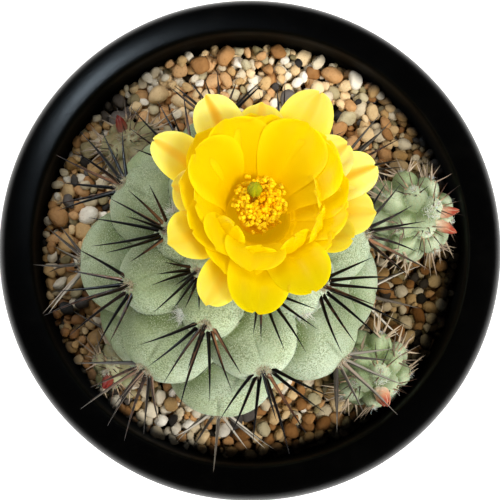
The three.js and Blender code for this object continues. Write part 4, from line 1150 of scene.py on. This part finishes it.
# The anthers have a faint painted glow.
settings = {
    "Specular IOR Level": 0.06,
    "Subsurface Weight": 0.6,
    "Subsurface Scale": 0.0012,
    "Subsurface Radius": (1.0, 0.8, 0.1),
    "Emission Color": srgb(255, 180, 0),
    "Emission Strength": 0.07,
}
pollen, place = start_finish("stamen_pollen", settings)
dusting = place.noise(3500, 3)
orange = (place.mark("tone") + dusting * 0.24 - 0.12).ramp(
    (0.0, (236, 198, 24)), (0.4, (236, 184, 10)), (0.75, (232, 156, 2)), (1.0, (222, 122, 0))
)
end_finish(pollen, orange, dusting * 0.2 + 0.7, dusting.bump(0.05))
rng = np.random.default_rng(606)
number = np.arange(STAMEN_COUNT)
azimuth = np.radians(GOLDEN_ANGLE * number)
share = np.sqrt((number + 1.5) / (STAMEN_COUNT + 1))
outwards = np.stack([np.cos(azimuth), np.sin(azimuth)], 1)
roots = np.column_stack([outwards * (2.1 * share)[:, None], FLOWER_THROAT + 1.0 - 0.6 * share])
tips = np.column_stack([outwards * (STAMEN_SPREAD * share)[:, None], FLOWER_THROAT + 4.6 - 1.5 * share**2])
clumps = rng.normal(0, 1, (CLUMPS, 3)) * [0.34, 0.34, 0.42]
tips += clumps[rng.integers(0, CLUMPS, STAMEN_COUNT)] + rng.normal(0, 1, tips.shape) * [0.16, 0.16, 0.26]
tips = tips * [0.88, 1, 1] + BRUSH_LEAN
roots = roots + 0.4 * BRUSH_LEAN
style = STIGMA - STYLE_ROOT
offset = tips - STYLE_ROOT
nearest = np.clip(offset @ style / (style @ style), 0, 1)
gap = np.linalg.norm(offset - nearest[:, None] * style, axis=1)
kept = gap > 0.8
roots, tips, share = roots[kept], tips[kept], share[kept]
shares = np.linspace(0, 1, 6)
bend = rng.normal(0, 0.3, (len(tips), 1, 3)) * np.sin(np.pi * shares)[:, None]
lines = roots[:, None] + shares[:, None] * (tips - roots)[:, None] + bend
tones = 0.35 - 0.2 * shares[None] + 0 * share[:, None]
filaments = tubes(lines, np.full((len(tips), 6), 0.075), 5, tone=tones)
directions, faces = ball(3)
grains = []
for tip, filament, away in zip(tips, lines, share):
    heading = filament[-1] - filament[-2]
    spin = aimed(heading / np.linalg.norm(heading) + rng.normal(0, 0.6, 3))
    size = rng.uniform(0.8, 1.25)
    shape = directions * ANTHER_SIZE
    shape[:, 1] *= 1 + 0.5 * np.abs(directions[:, 0]) ** 0.7
    cleft = np.exp(-((directions[:, 0] / 0.28) ** 2))
    shape *= (1 - 0.3 * cleft)[:, None]
    roll = about_z(rng.uniform(0, np.pi))
    tone = float(np.clip(0.86 - 0.8 * away + rng.normal(0, 0.14), 0, 1))
    grains.append({"points": size * shape @ roll.T @ spin.T + tip, "faces": faces, "tone": tone})
dome = turned(softened([(0, TUBE_TOP + 0.3), (2, TUBE_TOP + 0.3), (2.1, 7), (1.4, 8.3), (0, 8.8)], 0.5), 30)
dome["points"] = dome["points"] + 0.4 * BRUSH_LEAN
dome["tone"] = 0.0
blocks = [on_flower(block) for block in (dome, filaments, *grains)]
add_piece("flower_anthers", blocks, pollen, ["flower_stamens"])


# The pistil
# A slender style leans back through the stamens and ends in a velvety green knob of stigma lobes that are
# still closed together.
settings = {"Specular IOR Level": 0.2, "Subsurface Weight": 0.2, "Subsurface Scale": 0.0008}
stigma_green, place = start_finish("stigma_green", settings)
velvet = place.noise(4200, 2)
shade = place.mark("tone") * 0.8 + velvet * 0.3
green = shade.ramp((0.1, (226, 204, 30)), (0.5, (172, 164, 12)), (1.0, (126, 134, 12)))
end_finish(stigma_green, green, velvet * 0.2 + 0.7, velvet.bump(0.09))
shares = np.linspace(0, 1, 8)
style_line = STYLE_ROOT + shares[:, None] * style
blocks = [tubes([style_line], np.full((1, 8), 0.36), 10, tone=0)]
STIGMA_LOBES = 6
STIGMA_SIZE = (0.95, 0.95, 1.1)
directions, faces = ball(16)
turns = np.arctan2(directions[:, 1], directions[:, 0])
cleft = (0.5 - 0.5 * np.cos(STIGMA_LOBES * turns)) ** 3 * np.hypot(directions[:, 0], directions[:, 1]) ** 0.5
fuzz = np.random.default_rng(77).uniform(-0.035, 0.035, len(directions))
knob = directions * (1 - 0.12 * cleft + fuzz)[:, None] * STIGMA_SIZE
head = aimed(style / np.linalg.norm(style))
blocks.append({"points": knob @ head.T + STIGMA, "faces": faces, "tone": 0.85 - 0.3 * cleft})
blocks = [on_flower(block) for block in blocks]
add_piece("flower_style", blocks, stigma_green, ["flower_pistil"])


# The grit
# Crushed gravel, one to three millimetres, is poured over the soil round the stems. Most grains are tan or
# brown, and others are cream, grey green or nearly black. Cream and dark ones lie in heaps too. Painted shade
# darkens the grains at the right, the front and the front left, painted light brightens them at the back and
# the back left, and a painted shadow of the wall blackens them close to it.
GRAIN_FACE_CUTS = 3
BURIED_FACE_CUTS = 2
GRAIN_COUNT = 2500
GRAIN_BED = 53.2  # the level that the first grains lie on
GRAIN_SIZE = math.log(0.67)  # of the middling grain's radius
GRAIN_PLANES = 11
SPOTS_TRIED = 14  # for each grain, to find a low one
PACKING = 0.9  # how far apart touching grains are, over the sum of their radii
NESTING = 0.72  # how high a grain lies over one that it touches, over a ball's height there
rng = np.random.default_rng(2718)


def lay_grains():
    """Drops grains one by one where the bed is lowest, as rows of x, y, z and radius."""
    laid = np.zeros((0, 4))
    while len(laid) < GRAIN_COUNT:
        radius = float(np.clip(rng.lognormal(GRAIN_SIZE, 0.27), 0.4, 1.3))
        turn = rng.uniform(0, 2 * np.pi, SPOTS_TRIED)
        away = np.sqrt(rng.uniform(0.16, 1, SPOTS_TRIED)) * (inner_radius(MIX_LEVEL) - 0.82 * radius)
        spots = np.stack([away * np.cos(turn), away * np.sin(turn)], 1)
        free = np.ones(SPOTS_TRIED, bool)
        for stem in stems:
            rise = (MIX_LEVEL - stem.centre[2]) / (stem.radius * stem.flatten)
            girth = stem.radius * math.sqrt(max(1 - rise**2, 0.2))
            free &= np.linalg.norm(spots - stem.centre[:2], axis=1) > girth + 0.3 * radius
        spots = spots[free]
        if not len(spots):
            continue
        touch = PACKING * (laid[:, 3] + radius)
        apart = np.linalg.norm(spots[:, None] - laid[None, :, :2], axis=2)
        over = laid[None, :, 2] + NESTING * np.sqrt(np.maximum(touch**2 - apart**2, 0))
        level = np.where(apart < touch, over, -np.inf).max(1, initial=GRAIN_BED + 0.6 * radius)
        best = level.argmin()
        laid = np.vstack([laid, [*spots[best], level[best], radius]])
    return laid


def grain_block(x, y, z, radius, tone, cuts):
    """One crushed grain: a ball chopped by planes, its edges worn round, and marks for its painted shade."""
    directions, faces = balls[cuts]
    planes = rng.normal(0, 1, (GRAIN_PLANES, 3))
    planes /= np.linalg.norm(planes, axis=1, keepdims=True)
    depth = rng.uniform(0.62, 0.95, GRAIN_PLANES)
    worn = rng.uniform(14, 34)
    pull = (np.maximum(directions @ planes.T, 0) / depth) ** worn
    reach = (1 + pull.sum(1)) ** (-1 / worn)
    shape = directions * reach[:, None] * [1.18, rng.uniform(0.8, 1.05), rng.uniform(0.62, 0.9)]
    tilt = aimed(np.array([0, 0, 1]) + rng.normal(0, 0.3, 3))
    spin = about_z(rng.uniform(0, 2 * np.pi))
    points = radius * 1.12 * shape @ spin.T @ tilt.T + [x, y, z]
    # Painted shade at the right, the front and the front left.
    side_shade_reach = max((0.93 * x - 0.1 * y - 11) / 8, (-y + 0.2 * x - 20) / 10, (-x - 0.6 * y - 24) / 12)
    # Painted light at the back and in a pool at the back left.
    dry = 0.06 * min(max((y - 6) / 16, 0), 1) + 0.4 * math.exp(-((x + 14) ** 2 + (y - 20) ** 2) / 50)
    # Painted shadow of the wall on the grains close to it.
    away = np.hypot(points[:, 0], points[:, 1])
    shaded_from = 27.7 + 0.92 * (points[:, 1] - points[:, 0]) / away
    return {
        "points": points,
        "faces": faces,
        "tone": tone + dry,
        "damp": min(max(side_shade_reach, 0), 1),
        "silted": np.clip((away - shaded_from) / 1.4, 0, 1),
    }


def grit_finish(name, dark, middle, light):
    """Matt stone: each grain its own tone, mottled and pitted, with painted shade and painted shadow."""
    material, place = start_finish(name, {"Specular IOR Level": 0.25})
    mottle = place.noise(900, 5, 0.65)
    pits = place.cells(2600)
    shade = place.mark("tone") * 0.75 + mottle * 0.4
    colour = shade.ramp((0.1, dark), (0.5, middle), (0.95, light))
    colour = ((1 - pits.step(0.1, 0.35)) * 0.25).mix(colour, dark)
    # Painted shade, then the wall's painted shadow.
    colour = (place.mark("damp") * 0.85).mix(colour, (132, 118, 86), "MULTIPLY")
    colour = (place.mark("silted") * 0.97).mix(colour, (9, 7, 5))
    relief = mottle * 0.6 + pits * 0.4
    return end_finish(material, colour, mottle * 0.25 + 0.62, relief.bump(0.16))


balls = {GRAIN_FACE_CUTS: ball(GRAIN_FACE_CUTS), BURIED_FACE_CUTS: ball(BURIED_FACE_CUTS)}
GRIT = {  # share of the grains, then their darkest, middling and lightest shade
    "grit_tan": (0.37, (146, 110, 62), (202, 166, 114), (234, 208, 164)),
    "grit_brown": (0.28, (122, 80, 40), (178, 130, 80), (214, 170, 120)),
    "grit_cream": (0.2, (184, 166, 132), (222, 208, 180), (246, 240, 226)),
    "grit_grey": (0.1, (108, 98, 66), (158, 144, 106), (198, 186, 152)),
    "grit_dark": (0.05, (30, 28, 26), (64, 59, 55), (104, 97, 92)),
}
CREAM_HEAPS = ((-14.6, 24.6, 1.9, 1), (6.4, 25.2, 2.4, 0.6), (-10.5, -23.5, 4.8, 0.5))  # x, y, reach, share
laid = lay_grains()
kinds = rng.choice(len(GRIT), len(laid), p=[share for share, *_ in GRIT.values()])
kinds[np.hypot(laid[:, 0] + 18.8, laid[:, 1] - 19.4) < 2.3] = list(GRIT).index("grit_dark")
for x, y, reach, share in CREAM_HEAPS:
    close = np.hypot(laid[:, 0] - x, laid[:, 1] - y) < reach
    kinds[close & (rng.uniform(0, 1, len(laid)) < share)] = list(GRIT).index("grit_cream")
for kind, (name, (_, *shades)) in enumerate(GRIT.items()):
    finish = grit_finish(name, *shades)
    blocks = []
    for x, y, z, radius in laid[kinds == kind]:
        cuts = GRAIN_FACE_CUTS if z > MIX_LEVEL - 0.3 else BURIED_FACE_CUTS
        blocks.append(grain_block(x, y, z, radius, rng.uniform(0, 1), cuts))
    add_piece(name, blocks, finish, ["potting_mix"])
